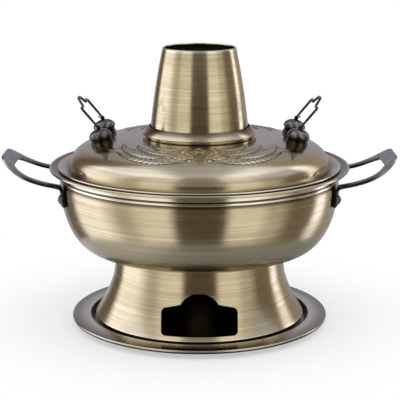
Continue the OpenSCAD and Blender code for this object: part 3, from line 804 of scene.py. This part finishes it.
def ornament_strokes():
    """The strokes of the drawing: points, half widths and height, all in millimetres."""
    strokes = []
    for feather in (((30, 108), (58, 110), (96, 88), 5.4, 13), ((20, 99), (50, 100), (80, 80), 4.2, 11),
                    ((14, 115), (44, 122), (78, 108), 3.8, 11), ((20, 80), (42, 88), (64, 70), 3.8, 9),
                    ((4, 100), (10, 112), (24, 106), 3.2, 5)):
        strokes += plume(*feather)
    for start, through, end in (((0, 68), (11, 70), (0, 90)), ((0, 73), (6, 75), (0, 86)),
                                ((6, 76), (17, 84), (3, 95)), ((0, 103), (10, 104), (14, 94)),
                                ((0, 108), (8, 110), (18, 118))):
        strokes.append((bend(start, through, end), LINE_W, -LINE_DEPTH))
    strokes.append((bend((0, 70), (7, 78), (0, 88)), 3.4, LEAF_RISE))
    for centre, radius, start, turns in (
            ((17, 72), 5.0, 200, 1.6), ((17, 89), 4.6, 120, -1.5), ((29, 91), 3.6, 30, 1.4),
            ((33, 72), 4.2, 150, -1.4), ((8, 112), 3.8, 260, 1.3), ((68, 97), 3.2, 0, -1.3),
            ((48, 76), 2.8, 80, 1.2), ((52, 92), 2.8, 40, 1.3), ((86, 101), 3.0, 200, 1.3)):
        path = scroll(centre, radius, start, turns)
        strokes.append((path, LINE_W * 0.9, -LINE_DEPTH))
        strokes.append((np.array([centre, centre], float), radius * 0.45, LEAF_RISE))
    for i in range(38):
        at = 2 + i * 2.3
        lean = 1.2 + 0.03 * at
        foot = 119 - 0.0022 * (at - 20) ** 2
        strokes.append((bend((at, foot - 3), (at + lean * 0.3, foot - 1), (at + lean, foot), 3),
                        LINE_W * 0.6, -LINE_DEPTH * 0.8))
    return strokes


def ornament_height(u, v):
    """Height of the ornament at points of the strip, and how deep its grooves are there."""
    raised = np.zeros(len(u))
    carved = np.zeros(len(u))
    for points, half, height in ornament_strokes():
        half = np.broadcast_to(np.asarray(half, float), (len(points),))
        reach = half.max()
        low, high = points.min(axis=0) - reach, points.max(axis=0) + reach
        near = np.flatnonzero((u > low[0]) & (u < high[0]) & (v > low[1]) & (v < high[1]))
        if not len(near):
            continue
        pu, pv = u[near], v[near]
        best = np.zeros(len(near))
        for k in range(len(points) - 1):
            start, step = points[k], points[k + 1] - points[k]
            length = max(float(step @ step), 1e-9)
            share = np.clip(((pu - start[0]) * step[0] + (pv - start[1]) * step[1]) / length, 0, 1)
            off = np.hypot(pu - start[0] - share * step[0], pv - start[1] - share * step[1])
            wide = half[k] + (half[k + 1] - half[k]) * share
            best = np.maximum(best, np.clip(1 - (off / np.maximum(wide, 0.05)) ** 2, 0, 1) ** 1.5)
        if height > 0:
            raised[near] = np.maximum(raised[near], best * height)
        else:
            carved[near] = np.maximum(carved[near], best * -height)
    return raised - carved, carved / LINE_DEPTH


def press_ornament(piece):
    """Presses the ornament into the dome's outer face and marks its grooves and crests as worn."""
    mesh = piece.data
    count = len(mesh.vertices)
    points = np.empty(count * 3, np.float32)
    mesh.vertices.foreach_get("co", points)
    points = points.reshape(-1, 3)
    x, y, z = points.T.astype(float) / MM
    radius = np.hypot(x, y)
    crown = np.where(radius > DOME_TOP_R, dome_side_z(radius), dome_crown_at(radius))
    on_top = (radius > ORNAMENT_LOW) & (radius < ORNAMENT_HIGH) & (z > crown - SHEET / 2)
    chosen = np.flatnonzero(on_top)
    along = np.abs(np.abs(np.arctan2(y[chosen], x[chosen])) - pi / 2) * ORNAMENT_R
    height, groove = ornament_height(along, radius[chosen])
    points[chosen, 2] += height * MM
    mesh.vertices.foreach_set("co", points.reshape(-1))
    wear_and_painted_light = np.empty(count, np.float32)
    layer = mesh.attributes["wear_and_painted_light"].data
    layer.foreach_get("value", wear_and_painted_light)
    wear_and_painted_light[chosen] = np.clip(height / LEAF_RISE * 0.8, 0, 0.8) - groove
    layer.foreach_set("value", wear_and_painted_light)
    mesh.update()


def make_dome():
    steps = 40
    neck_top = dome_crown_z + NECK_H
    low_turn = acos(((ORNAMENT_HIGH - DOME_TOP_R) / (DOME_R - DOME_TOP_R)) ** (1 / DOME_POWER))
    span = ORNAMENT_HIGH - LID_HOLE_R - SHEET
    rings = int(span / ORNAMENT_STEP)
    radii = [ORNAMENT_HIGH - span * i / rings for i in range(rings + 1)]
    turns = [pi / 2 * i / steps for i in range(steps + 1)]
    # Painted shade under the brim, and a painted highlight on its lip
    outline = [
        (brim_r - LIP_R, brim_under(brim_r - LIP_R), BRIM_UNDER_SHADE),
        *[(r, z, LIP_HIGHLIGHT) for r, z in arc(
            (brim_r - LIP_R, brim_under(brim_r) + LIP_R), LIP_R, -60, 130, 14)],
        *[dome_point(low_turn * i / steps, 0) for i in range(steps)],
        *[(r, float(dome_side_z(r)) if r > DOME_TOP_R else dome_crown_at(r)) for r in radii],
        (LID_HOLE_R + SHEET, neck_top), (LID_HOLE_R, neck_top),
        (LID_HOLE_R, dome_crown_z - SHEET),
        *[dome_point(t, SHEET) for t in turns[::-1]],
        (DOME_R - SHEET, brim_under(DOME_R - SHEET))]
    piece = lathe("lid_shell", rounded(outline, 0.5), segments=1024)
    press_ornament(piece)
    return finish_piece(piece, "lid", ["lid_dome"], "antique_brass", brass)


def make_collar():
    edge_z = collar_top_z - (collar_r - COLLAR_MOUTH_R)
    sleeve_r = LID_HOLE_R + SHEET + SEAT_GAP
    sleeve_z = collar_low.z
    slant = SHEET * sqrt(2)
    edge = 0.4
    outline = [
        (COLLAR_MOUTH_R, collar_top_z - slant), (COLLAR_MOUTH_R, collar_top_z - edge),
        (COLLAR_MOUTH_R + edge, collar_top_z), (collar_r - edge / 2, edge_z + edge),
        (collar_r, edge_z), (collar_r - edge, edge_z - edge),
        (sleeve_r + SHEET, edge_z - edge), (sleeve_r + SHEET, sleeve_z),
        (sleeve_r, sleeve_z), (sleeve_r, edge_z + edge),
        (collar_r - slant - edge, edge_z + edge)]
    piece = lathe("collar", rounded(outline, 0.4))
    return finish_piece(piece, "lid", ["lid_collar"], "antique_brass", brass)


# ----- side handles

rivet_z = bowl_z + RIVET_Z
rivet_wall_r = bowl_at(rivet_z)
wall_lean = atan(
    (bowl_at(rivet_z + LEG_UP) - bowl_at(rivet_z - LEG_DOWN)) / (LEG_UP + LEG_DOWN))
handle_turn = asin(HANDLE_Y / rivet_wall_r)
HANDLE_GAP = 2 * SEAT_GAP
strap_mid_r = rivet_wall_r + HANDLE_GAP + STRAP_T / 2
bend_start = (strap_mid_r + LEG_UP * sin(wall_lean), rivet_z + LEG_UP * cos(wall_lean))
bend_centre = (bend_start[0] + LEG_BEND * cos(wall_lean),
               bend_start[1] - LEG_BEND * sin(wall_lean))
bend_reach = bend_centre[0] - LEG_BEND * sin(LEG_SLOPE) - bend_start[0]
leg_z = bend_centre[1] + LEG_BEND * cos(LEG_SLOPE)
leg_x = bend_start[0] * cos(handle_turn) + bend_reach * cos(LEG_TURN)
leg_y = bend_start[0] * sin(handle_turn) - bend_reach * sin(LEG_TURN)
corner_x = GRIP_X - GRIP_R
leg_l = (corner_x + GRIP_R * sin(LEG_TURN) - leg_x) / cos(LEG_TURN)
corner_y = leg_y - leg_l * sin(LEG_TURN) - GRIP_R * cos(LEG_TURN)
grip_reach = GRIP_X - leg_x
grip_curve = (GRIP_RISE - grip_reach * tan(LEG_SLOPE)) / grip_reach ** 3


def strap_outline(width):
    """The strap's section, flat with round edges."""
    edge = 1.0
    points = []
    for sx, sy, start in ((1, 1, 0), (-1, 1, 90), (-1, -1, 180), (1, -1, 270)):
        centre = (sx * (width / 2 - edge), sy * (STRAP_T / 2 - edge))
        points += arc(centre, edge, start, start + 90, 5)
    return points


def strap_ring(at, along, normal, width):
    """The strap's section at a place, square to its run and flat towards its normal."""
    along = Vector(along)
    across = Vector(normal).cross(along).normalized()
    up = along.cross(across).normalized()
    return [Vector(at) + across * p[0] + up * p[1] for p in strap_outline(width)]


def leg_ring(reach, z, pitch, heading):
    """A ring on the bowl's wall or in the bend above it. Reach counts from the wall's face."""
    c, s = cos(heading), sin(heading)
    return strap_ring(
        (bend_start[0] * cos(handle_turn) + reach * c,
         bend_start[0] * sin(handle_turn) + reach * s, z),
        (cos(pitch) * c, cos(pitch) * s, sin(pitch)),
        (-sin(pitch) * c, -sin(pitch) * s, cos(pitch)), STRAP_W)


def loop_ring(x, y, heading):
    """A ring on the loop outside the bend, where heading is 0 outwards and negative inwards."""
    z = leg_z + (x - leg_x) * tan(LEG_SLOPE) + (x - leg_x) ** 3 * grip_curve
    rise = tan(LEG_SLOPE) + 3 * (x - leg_x) ** 2 * grip_curve
    share = max(-heading - LEG_TURN, 0) / (pi / 2 - LEG_TURN)
    width = STRAP_W + (GRIP_W - STRAP_W) * sin(pi / 2 * share) ** 2
    return strap_ring((x, y, z), (cos(heading), sin(heading), cos(heading) * rise),
                      (-rise, 0, 1), width)


def make_handle(name, node, side):
    """A strap that runs up the wall, bends out, rises to its grip and comes back mirrored. Its
    legs carry painted shade that makes them near black, and the grip keeps the strap's colour."""
    upright = pi / 2 - wall_lean
    half = []
    for i in range(7):
        s = -LEG_DOWN + (LEG_DOWN + LEG_UP) * i / 6 * LEG_SHARE
        half.append(leg_ring((s - LEG_UP) * sin(wall_lean), rivet_z + s * cos(wall_lean),
                             upright, handle_turn))
    for i in range(17):
        pitch = upright + (LEG_SLOPE - upright) * i / 16
        half.append(leg_ring(
            bend_centre[0] - LEG_BEND * sin(pitch) - bend_start[0],
            bend_centre[1] + LEG_BEND * cos(pitch), pitch,
            handle_turn - (handle_turn + LEG_TURN) * i / 16))
    half += [loop_ring(leg_x + leg_l * cos(LEG_TURN) * i / 12,
                       leg_y - leg_l * sin(LEG_TURN) * i / 12, -LEG_TURN) for i in range(1, 13)]
    for i in range(1, 29):
        turn = LEG_TURN + (pi / 2 - LEG_TURN) * i / 28
        half.append(loop_ring(corner_x + GRIP_R * sin(turn), corner_y + GRIP_R * cos(turn), -turn))
    half += [loop_ring(GRIP_X, corner_y * (1 - i / 6), -pi / 2) for i in range(1, 7)]
    other = [[Vector((p.x, -p.y, p.z)) for p in ring] for ring in half[-2::-1]]
    rings = [[Vector((side * p.x, p.y, p.z)) for p in ring] for ring in half + other]
    piece = sweep(name, rings)
    # Painted shade: near black on the legs, fading out towards the grip
    reach = [min(max((abs(v.co.x) / MM - corner_x) / GRIP_R, 0), 1) for v in piece.data.vertices]
    set_wear_and_painted_light(piece.data, [share + LEG_SHADE for share in reach])
    return finish_piece(piece, "pot", [node], "handle_steel", strap_metal)


def make_rivets(name, node, side):
    base = HANDLE_GAP + STRAP_T + SEAT_GAP
    cap_r = (RIVET_HEAD_R ** 2 + RIVET_HEAD_H ** 2) / (2 * RIVET_HEAD_H)
    half_angle = degrees(asin(RIVET_HEAD_R / cap_r))
    dome = arc((0, base + RIVET_HEAD_H - cap_r), cap_r, 90 - half_angle, 90, 12)
    outline = rounded([(0, base), *dome], 0.3)
    pieces = []
    for end in (-1, 1):
        turn = end * handle_turn if side > 0 else pi - end * handle_turn
        matrix = (Matrix.Rotation(turn, 4, "Z") @ Matrix.Translation((rivet_wall_r, 0, rivet_z))
                  @ Matrix.Rotation(wall_lean, 4, "Y") @ Matrix.Rotation(pi / 2, 4, "Y"))
        pieces.append(place(lathe(f"{name}_{end}", outline, segments=48), matrix))
    piece = join(name, pieces)
    return finish_piece(piece, "pot", [node], "dark_nickel", nickel)


# ----- knobs and bails

EYE_R = WIRE_R + PIN_CLEAR
LUG_R = EYE_R + LUG_WALL
hinge_h = SEAT_H + KNOB_H + LUG_R - LUG_SINK
knob_seat_z = float(dome_side_z(hypot(KNOB_X, KNOB_Y)))
hinge_x = KNOB_X + hinge_h * sin(KNOB_LEAN)
hinge_z = knob_seat_z + hinge_h * cos(KNOB_LEAN)
bail_half = KNOB_Y + LUG_T / 2 + LIFT_GAP + ELBOW_R
peg_angle = BAIL_REST - asin((WIRE_R + PEG_R + LIFT_GAP) / PEG_REACH)


def leaning(side, at):
    """A knob's frame: moved to a place and leaning outwards with the dome."""
    return Matrix.Translation(at) @ Matrix.Rotation(side * KNOB_LEAN, 4, "Y")


def make_lug(name):
    """The pierced ear on a knob, with its hinge on the origin and its plate in X and Z."""
    sides = 40
    half = LUG_T / 2
    post_half = LUG_R * 0.85
    post_deep = LUG_R * 1.9
    outer, hole = [], []
    for k in range(sides):
        t = 2 * pi * k / sides
        c, s = cos(t), sin(t)
        reach = LUG_R
        if s < 0:
            reach = max(LUG_R, min(post_half / max(abs(c), 1e-6), post_deep / -s))
        outer.append((reach * c, reach * s))
        hole.append((EYE_R * c, EYE_R * s))
    edge = 0.25
    rings = [(hole, -half + edge, 0), (hole, -half, edge * 4), (outer, -half, -1),
             (outer, -half + edge, 0), (outer, half - edge, 0), (outer, half, -1),
             (hole, half, edge * 4), (hole, half - edge, 0)]
    verts = [(x * (1 + edge / LUG_R * grow), y, z * (1 + edge / LUG_R * grow))
             for ring, y, grow in rings for x, z in ring]
    count = len(rings)
    faces = [(i * sides + k, ((i + 1) % count) * sides + k,
              ((i + 1) % count) * sides + (k + 1) % sides, i * sides + (k + 1) % sides)
             for i in range(count) for k in range(sides)]
    return outward(build(name, verts, faces))


def make_knob(name, node, side, end):
    """A round knob with painted shade, black from its seat to a little above its belly, with its lug and
    stop peg.
    """
    bottom = SEAT_H + SEAT_GAP
    belly = KNOB_H * KNOB_BELLY
    steps = 36
    skirt, crown = [], []
    for i in range(steps + 1):
        turn = pi / 2 * i / steps
        rise = sin(turn)
        # Painted shade: the skirt is near black, and the crown is shaded near its bottom
        skirt.append((KNOB_R - KNOB_TUCK * cos(turn), bottom + belly * rise, DARKEST))
        crown.append((KNOB_R * max(cos(turn), 0) ** 0.9,
                      bottom + belly + (KNOB_H - belly) * rise, min(3 * (rise - KNOB_SHADE_RISE), 0)))
    outline = [(0, bottom), *skirt[:-1], *crown]
    body = place(lathe(name + "_body", rounded(outline, 0.4), segments=96),
                 leaning(side, (side * KNOB_X, end * KNOB_Y, knob_seat_z)))
    hinge = Vector((side * hinge_x, end * KNOB_Y, hinge_z))
    lug = place(make_lug(name + "_lug"), leaning(side, hinge))
    arm_at = (EYE_R + LUG_R) / 2
    peg_l = LUG_T + LIFT_GAP + 2 * WIRE_R
    direction = Vector((side * cos(peg_angle), 0, sin(peg_angle)))
    peg_start = hinge + direction * PEG_REACH - Vector((0, end * LUG_T / 2, 0))
    peg = wire(name + "_peg", [peg_start, peg_start + Vector((0, end * peg_l, 0))], PEG_R)
    arm_t = PEG_R * 0.75
    arm = wire(name + "_arm", [hinge + direction * arm_at, hinge + direction * PEG_REACH], arm_t)
    piece = join(name, [body, lug, peg, arm])
    return finish_piece(piece, "lid", [node], "dark_nickel", nickel)


def curve_point(a, b, c, d, t):
    """A point between b and c on a smooth curve through four points."""
    return tuple(
        0.5 * (2 * q + (r - p) * t + (2 * p - 5 * q + 4 * r - s) * t ** 2
               + (3 * q - p - 3 * r + s) * t ** 3)
        for p, q, r, s in zip(a, b, c, d))


def bail_path():
    """The bail's middle line, lying outwards along X with its hinge line on Y, pins included."""
    shoulder = BAIL_LEG + 2.4
    guides = [
        (BAIL_LEG * 0.2, bail_half), (BAIL_LEG * 0.5, bail_half), (BAIL_LEG - 2, bail_half),
        (BAIL_LEG + 0.8, bail_half - 0.1), (shoulder, bail_half - 2.2),
        (shoulder - 0.2, bail_half - 6), (shoulder - 0.8, bail_half - 14),
        (shoulder + 0.4, bail_half - 17.5), (shoulder + BAIL_PEAK * 0.5, bail_half - 21.5),
        (shoulder + BAIL_PEAK * 0.9, bail_half - 25.5), (shoulder + BAIL_PEAK, 3),
        (shoulder + BAIL_PEAK, 0), (shoulder + BAIL_PEAK, -3)]
    half = [(0, KNOB_Y - LUG_T / 2 - PIN_OUT), (0, bail_half - ELBOW_R)]
    half += [(ELBOW_R - ELBOW_R * cos(t), bail_half - ELBOW_R + ELBOW_R * sin(t))
             for t in (pi / 2 * i / 6 for i in range(1, 7))]
    steps = 8
    for i in range(1, len(guides) - 2):
        half += [curve_point(*guides[i - 1:i + 3], k / steps) for k in range(steps)]
    half.append(guides[-2])
    return [(x, y, 0) for x, y in half] + [(x, -y, 0) for x, y in half[-2::-1]]


def make_bail(name, node, side):
    """A bail turned to its rest angle. Past its stop peg the wire is a little thicker."""
    path = bail_path()
    shares = [min(max(p[0] / PEG_REACH - WIRE_SWELL, 0), 1) for p in path]
    radii = [WIRE_R + (LOOP_WIRE_R - WIRE_R) * share for share in shares]
    piece = wire(name, path, radii)
    matrix = Matrix.Translation((hinge_x, 0, hinge_z)) @ Matrix.Rotation(-BAIL_REST, 4, "Y")
    place(piece, matrix)
    if side < 0:
        piece.data.transform(Matrix.Scale(-1, 4, (1, 0, 0)))
        piece.data.flip_normals()
    return finish_piece(piece, node, [node], "wire_nickel", wire_metal)


# ----- CAD nodes that stay

def dress_node(node, material, bevel=0.0):
    """Gives a CAD node its material, and small round edges by a modifier."""
    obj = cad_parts[node]
    obj.data.materials.clear()
    obj.data.materials.append(material)
    if bevel:
        step = obj.modifiers.new("edges", "BEVEL")
        step.width = bevel * MM
        step.segments = 2
        step.angle_limit = radians(35)


# ----- stage

WHITE = rgb(1, 1, 1)
# The studio as polished metal sees it: (name, from, to, brightness), with the angles in degrees
# around Z, 0 where the camera stands and positive to its right
PANELS = [
    ("back left wall", -180, -156, 0.4),
    ("left corner", -146, -129, 0.18),
    ("left softbox", -120, -90, 1.65),
    ("left gap", -70, -60, 0.7),
    ("front left screen", -50, -26, 1.05),
    ("camera side", -18, 20, 0.11),
    ("front right screen", 27, 50, 1.1),
    ("right fill", 60, 68, 0.7),
    ("right gap", 82, 107, 0.24),
    ("right softbox", 114, 121, 1.8),
    ("right corner", 130, 146, 0.4),
    ("back right wall", 158, 180, 0.4),
]
# Panels beyond this angle are walls behind the object
BACK = 150
# The ramp holds the panels' colours as shares of this level
BRIGHTEST = 2.6
# High up in front, the walls are at least this bright: in the middle, and to its sides
HIGH_FRONT = rgb(0.36, 0.37, 0.38)
HIGH_SCREENS = rgb(0.58, 0.6, 0.6)
# The ceiling and its two soft boxes, by where a direction meets a plane one unit up
CEILING = rgb(0.64, 0.68, 0.86)
CEILING_BOX = rgb(1.35, 1.44, 1.85)
BOX_INNER = (0.15, 0.42)
RIGHT_BOX_OUTER = (1.1, 0.5)
CEILING_FRONT = (-0.55, -0.28)
CEILING_BACK = (0.62, 0.4)

# The floor as metal sees it, painted shade on the right and painted light on the left, and distances from
# the middle in metres
MIRRORED_FLOOR_SHADE = rgb(0.32, 0.345, 0.42)
MIRRORED_FLOOR_LIGHT_LEFT = rgb(0.62, 0.66, 0.78)
SHADOW_FADE = (0.15, 0.45)
MIRRORED_FADE = (0.235, 0.27)
FLOOR_HALF = 4000

CAMERA_AT = Vector((0, -1.4, 0.4546))
CAMERA_AIM = Vector((0, 0, 0.1326))


def studio_tone(level):
    """A panel's colour: dark walls are warm, and softboxes a little cool."""
    warm = min(max(1 - level, 0), 1) ** 2
    cool = min(max(level - 1, 0), 1)
    return (level, level * (1 - 0.3 * warm + 0.03 * cool), level * (1 - 0.56 * warm + 0.3 * cool))


def back_tone(level):
    """The colour of the walls behind the object, which the dome's sides mirror."""
    return (level, level * 1.02, level * 1.25)


def make_world():
    world = bpy.data.worlds.new("studio")
    bpy.context.scene.world = world
    world.use_nodes = True
    n = Nodes(world.node_tree)
    direction = n.add("TexCoord").outputs["Generated"]
    x, y, z = n.add("SeparateXYZ", {"Vector": direction}).outputs
    around = n.math("ARCTAN2", x, n.times(y, -1.0))
    share = n.math("ADD", n.math("DIVIDE", around, 2 * pi), 0.5)
    ramp = n.add("ValToRGB", {"Fac": share})
    stops = [(angle / 360 + 0.5, back_tone(level) if abs(angle) > BACK else studio_tone(level))
             for _, start, end, level in PANELS for angle in (start, end)]
    elements = ramp.color_ramp.elements
    while len(elements) > 1:
        elements.remove(elements[0])
    for i, (at, tone) in enumerate(stops):
        stop = elements.new(at) if i else elements[0]
        stop.position = at
        stop.color = rgb(*(c / BRIGHTEST for c in tone))
    walls = n.add("VectorMath", {0: ramp.outputs["Color"], "Scale": BRIGHTEST}, operation="SCALE")
    lift = n.mix(n.smooth(n.math("ABSOLUTE", x), 0.15, 0.35), HIGH_FRONT, HIGH_SCREENS)
    lift = n.mix(n.times(n.smooth(z, 0.1, 0.45), n.smooth(y, 0.0, -0.2)), rgb(0, 0, 0), lift)
    lifted = n.mix(1.0, walls.outputs[0], lift, "LIGHTEN")
    up = n.math("MAXIMUM", z, 0.05)
    over_x = n.math("DIVIDE", x, up)
    over_y = n.math("DIVIDE", y, up)
    box = n.times(n.smooth(n.math("ABSOLUTE", over_x), *BOX_INNER), n.smooth(over_x, *RIGHT_BOX_OUTER))
    overhead = n.mix(box, CEILING, CEILING_BOX)
    above = n.times(n.smooth(over_y, *CEILING_FRONT), n.smooth(over_y, *CEILING_BACK))
    studio = n.mix(n.times(above, n.smooth(z, 0.3, 0.5)), lifted, overhead)
    path = n.add("LightPath")
    seen = n.mix(path.outputs["Is Glossy Ray"], WHITE, studio)
    background = n.add("Background", {"Color": seen, "Strength": 1.0})
    n.show(background, "OutputWorld")


def make_floor():
    """A pale floor that takes a light shadow near the object and is white farther out. Mirrored
    rays see a disc with painted shade, with painted light on its left, and beyond it the studio."""
    half = FLOOR_HALF
    floor = build("floor", [(-half, -half, 0), (half, -half, 0), (half, half, 0), (-half, half, 0)],
                  [(0, 1, 2, 3)])
    material, n = new_material("pale_floor")
    spot = n.object_place()
    away = n.add("VectorMath", {0: spot}, operation="LENGTH").outputs["Value"]
    mirrored = n.add("LightPath").outputs["Is Glossy Ray"]
    pale = n.mix(n.smooth(n.noise(spot, 300.0, 2.0), 0.3, 0.7),
                 rgb(0.93, 0.93, 0.93), rgb(0.95, 0.95, 0.95))
    across = n.add("SeparateXYZ", {"Vector": spot}).outputs[0]
    # Painted shade and light on the floor, seen only by mirrored rays
    painted_floor_tone = n.mix(n.smooth(across, -0.02, -0.16), MIRRORED_FLOOR_SHADE, MIRRORED_FLOOR_LIGHT_LEFT)
    near = n.add("BsdfDiffuse", {"Color": n.mix(mirrored, pale, painted_floor_tone)})
    far = n.add("Emission", {"Color": WHITE, "Strength": 1.0})
    lit = n.add("MixShader", {
        0: n.smooth(away, *SHADOW_FADE, 0.5, 1.0), 1: near.outputs[0], 2: far.outputs[0]})
    blend = n.add("MixShader", {0: mirrored, 1: lit.outputs[0], 2: near.outputs[0]})
    n.show(n.add("MixShader", {
        0: n.times(mirrored, n.smooth(away, *MIRRORED_FADE)), 1: blend.outputs[0],
        2: n.add("BsdfTransparent").outputs[0]}))
    floor.data.materials.append(material)


def aimed(at, aim):
    """The turn of a camera or lamp that looks from one place to another."""
    return (Vector(aim) - Vector(at)).to_track_quat("-Z", "Y").to_euler()


def make_lamp(name, at, aim, size, power):
    """A square lamp that no mirrored ray sees."""
    data = bpy.data.lights.new(name, "AREA")
    data.energy = power
    data.size = size
    lamp = add_object(name, data)
    lamp.location = at
    lamp.rotation_euler = aimed(at, aim)
    lamp.visible_glossy = False
    lamp.visible_camera = False


def make_camera():
    data = bpy.data.cameras.new("camera")
    camera = add_object("camera", data)
    camera.location = CAMERA_AT
    camera.rotation_euler = aimed(CAMERA_AT, CAMERA_AIM)
    data.lens = 119.8
    data.sensor_width = 36
    data.shift_x = 0.0015
    data.clip_start = 0.01
    bpy.context.scene.camera = camera


# ----- the object and its stage

make_camera()
make_tray()
make_base()
make_bowl()
make_tube()
make_dome()
make_collar()
for word, sign in (("left", -1), ("right", 1)):
    make_handle("strap_" + word, "handle_" + word, sign)
    make_rivets("rivets_" + word, "handle_rivets_" + word, sign)
    make_bail("wire_" + word, "bail_" + word, sign)
    for end_word, end_sign in (("front", -1), ("back", 1)):
        node_name = f"knob_{word}_{end_word}"
        make_knob(node_name + "_shaped", node_name, sign, end_sign)

dress_node("knob_seats", bronze)
dress_node("charcoal_grate", iron, 0.4)
for node_name in ("grate_brackets", "bracket_rivets", "knob_screws", "screw_washers"):
    dress_node(node_name, plain_steel, 0.2)

make_world()
make_floor()
make_lamp("top_softbox", at=(0.2, -0.4, 1.8), aim=(0, 0, 0.1), size=1.4, power=6.0)

scene = bpy.context.scene
scene.view_settings.view_transform = "Standard"
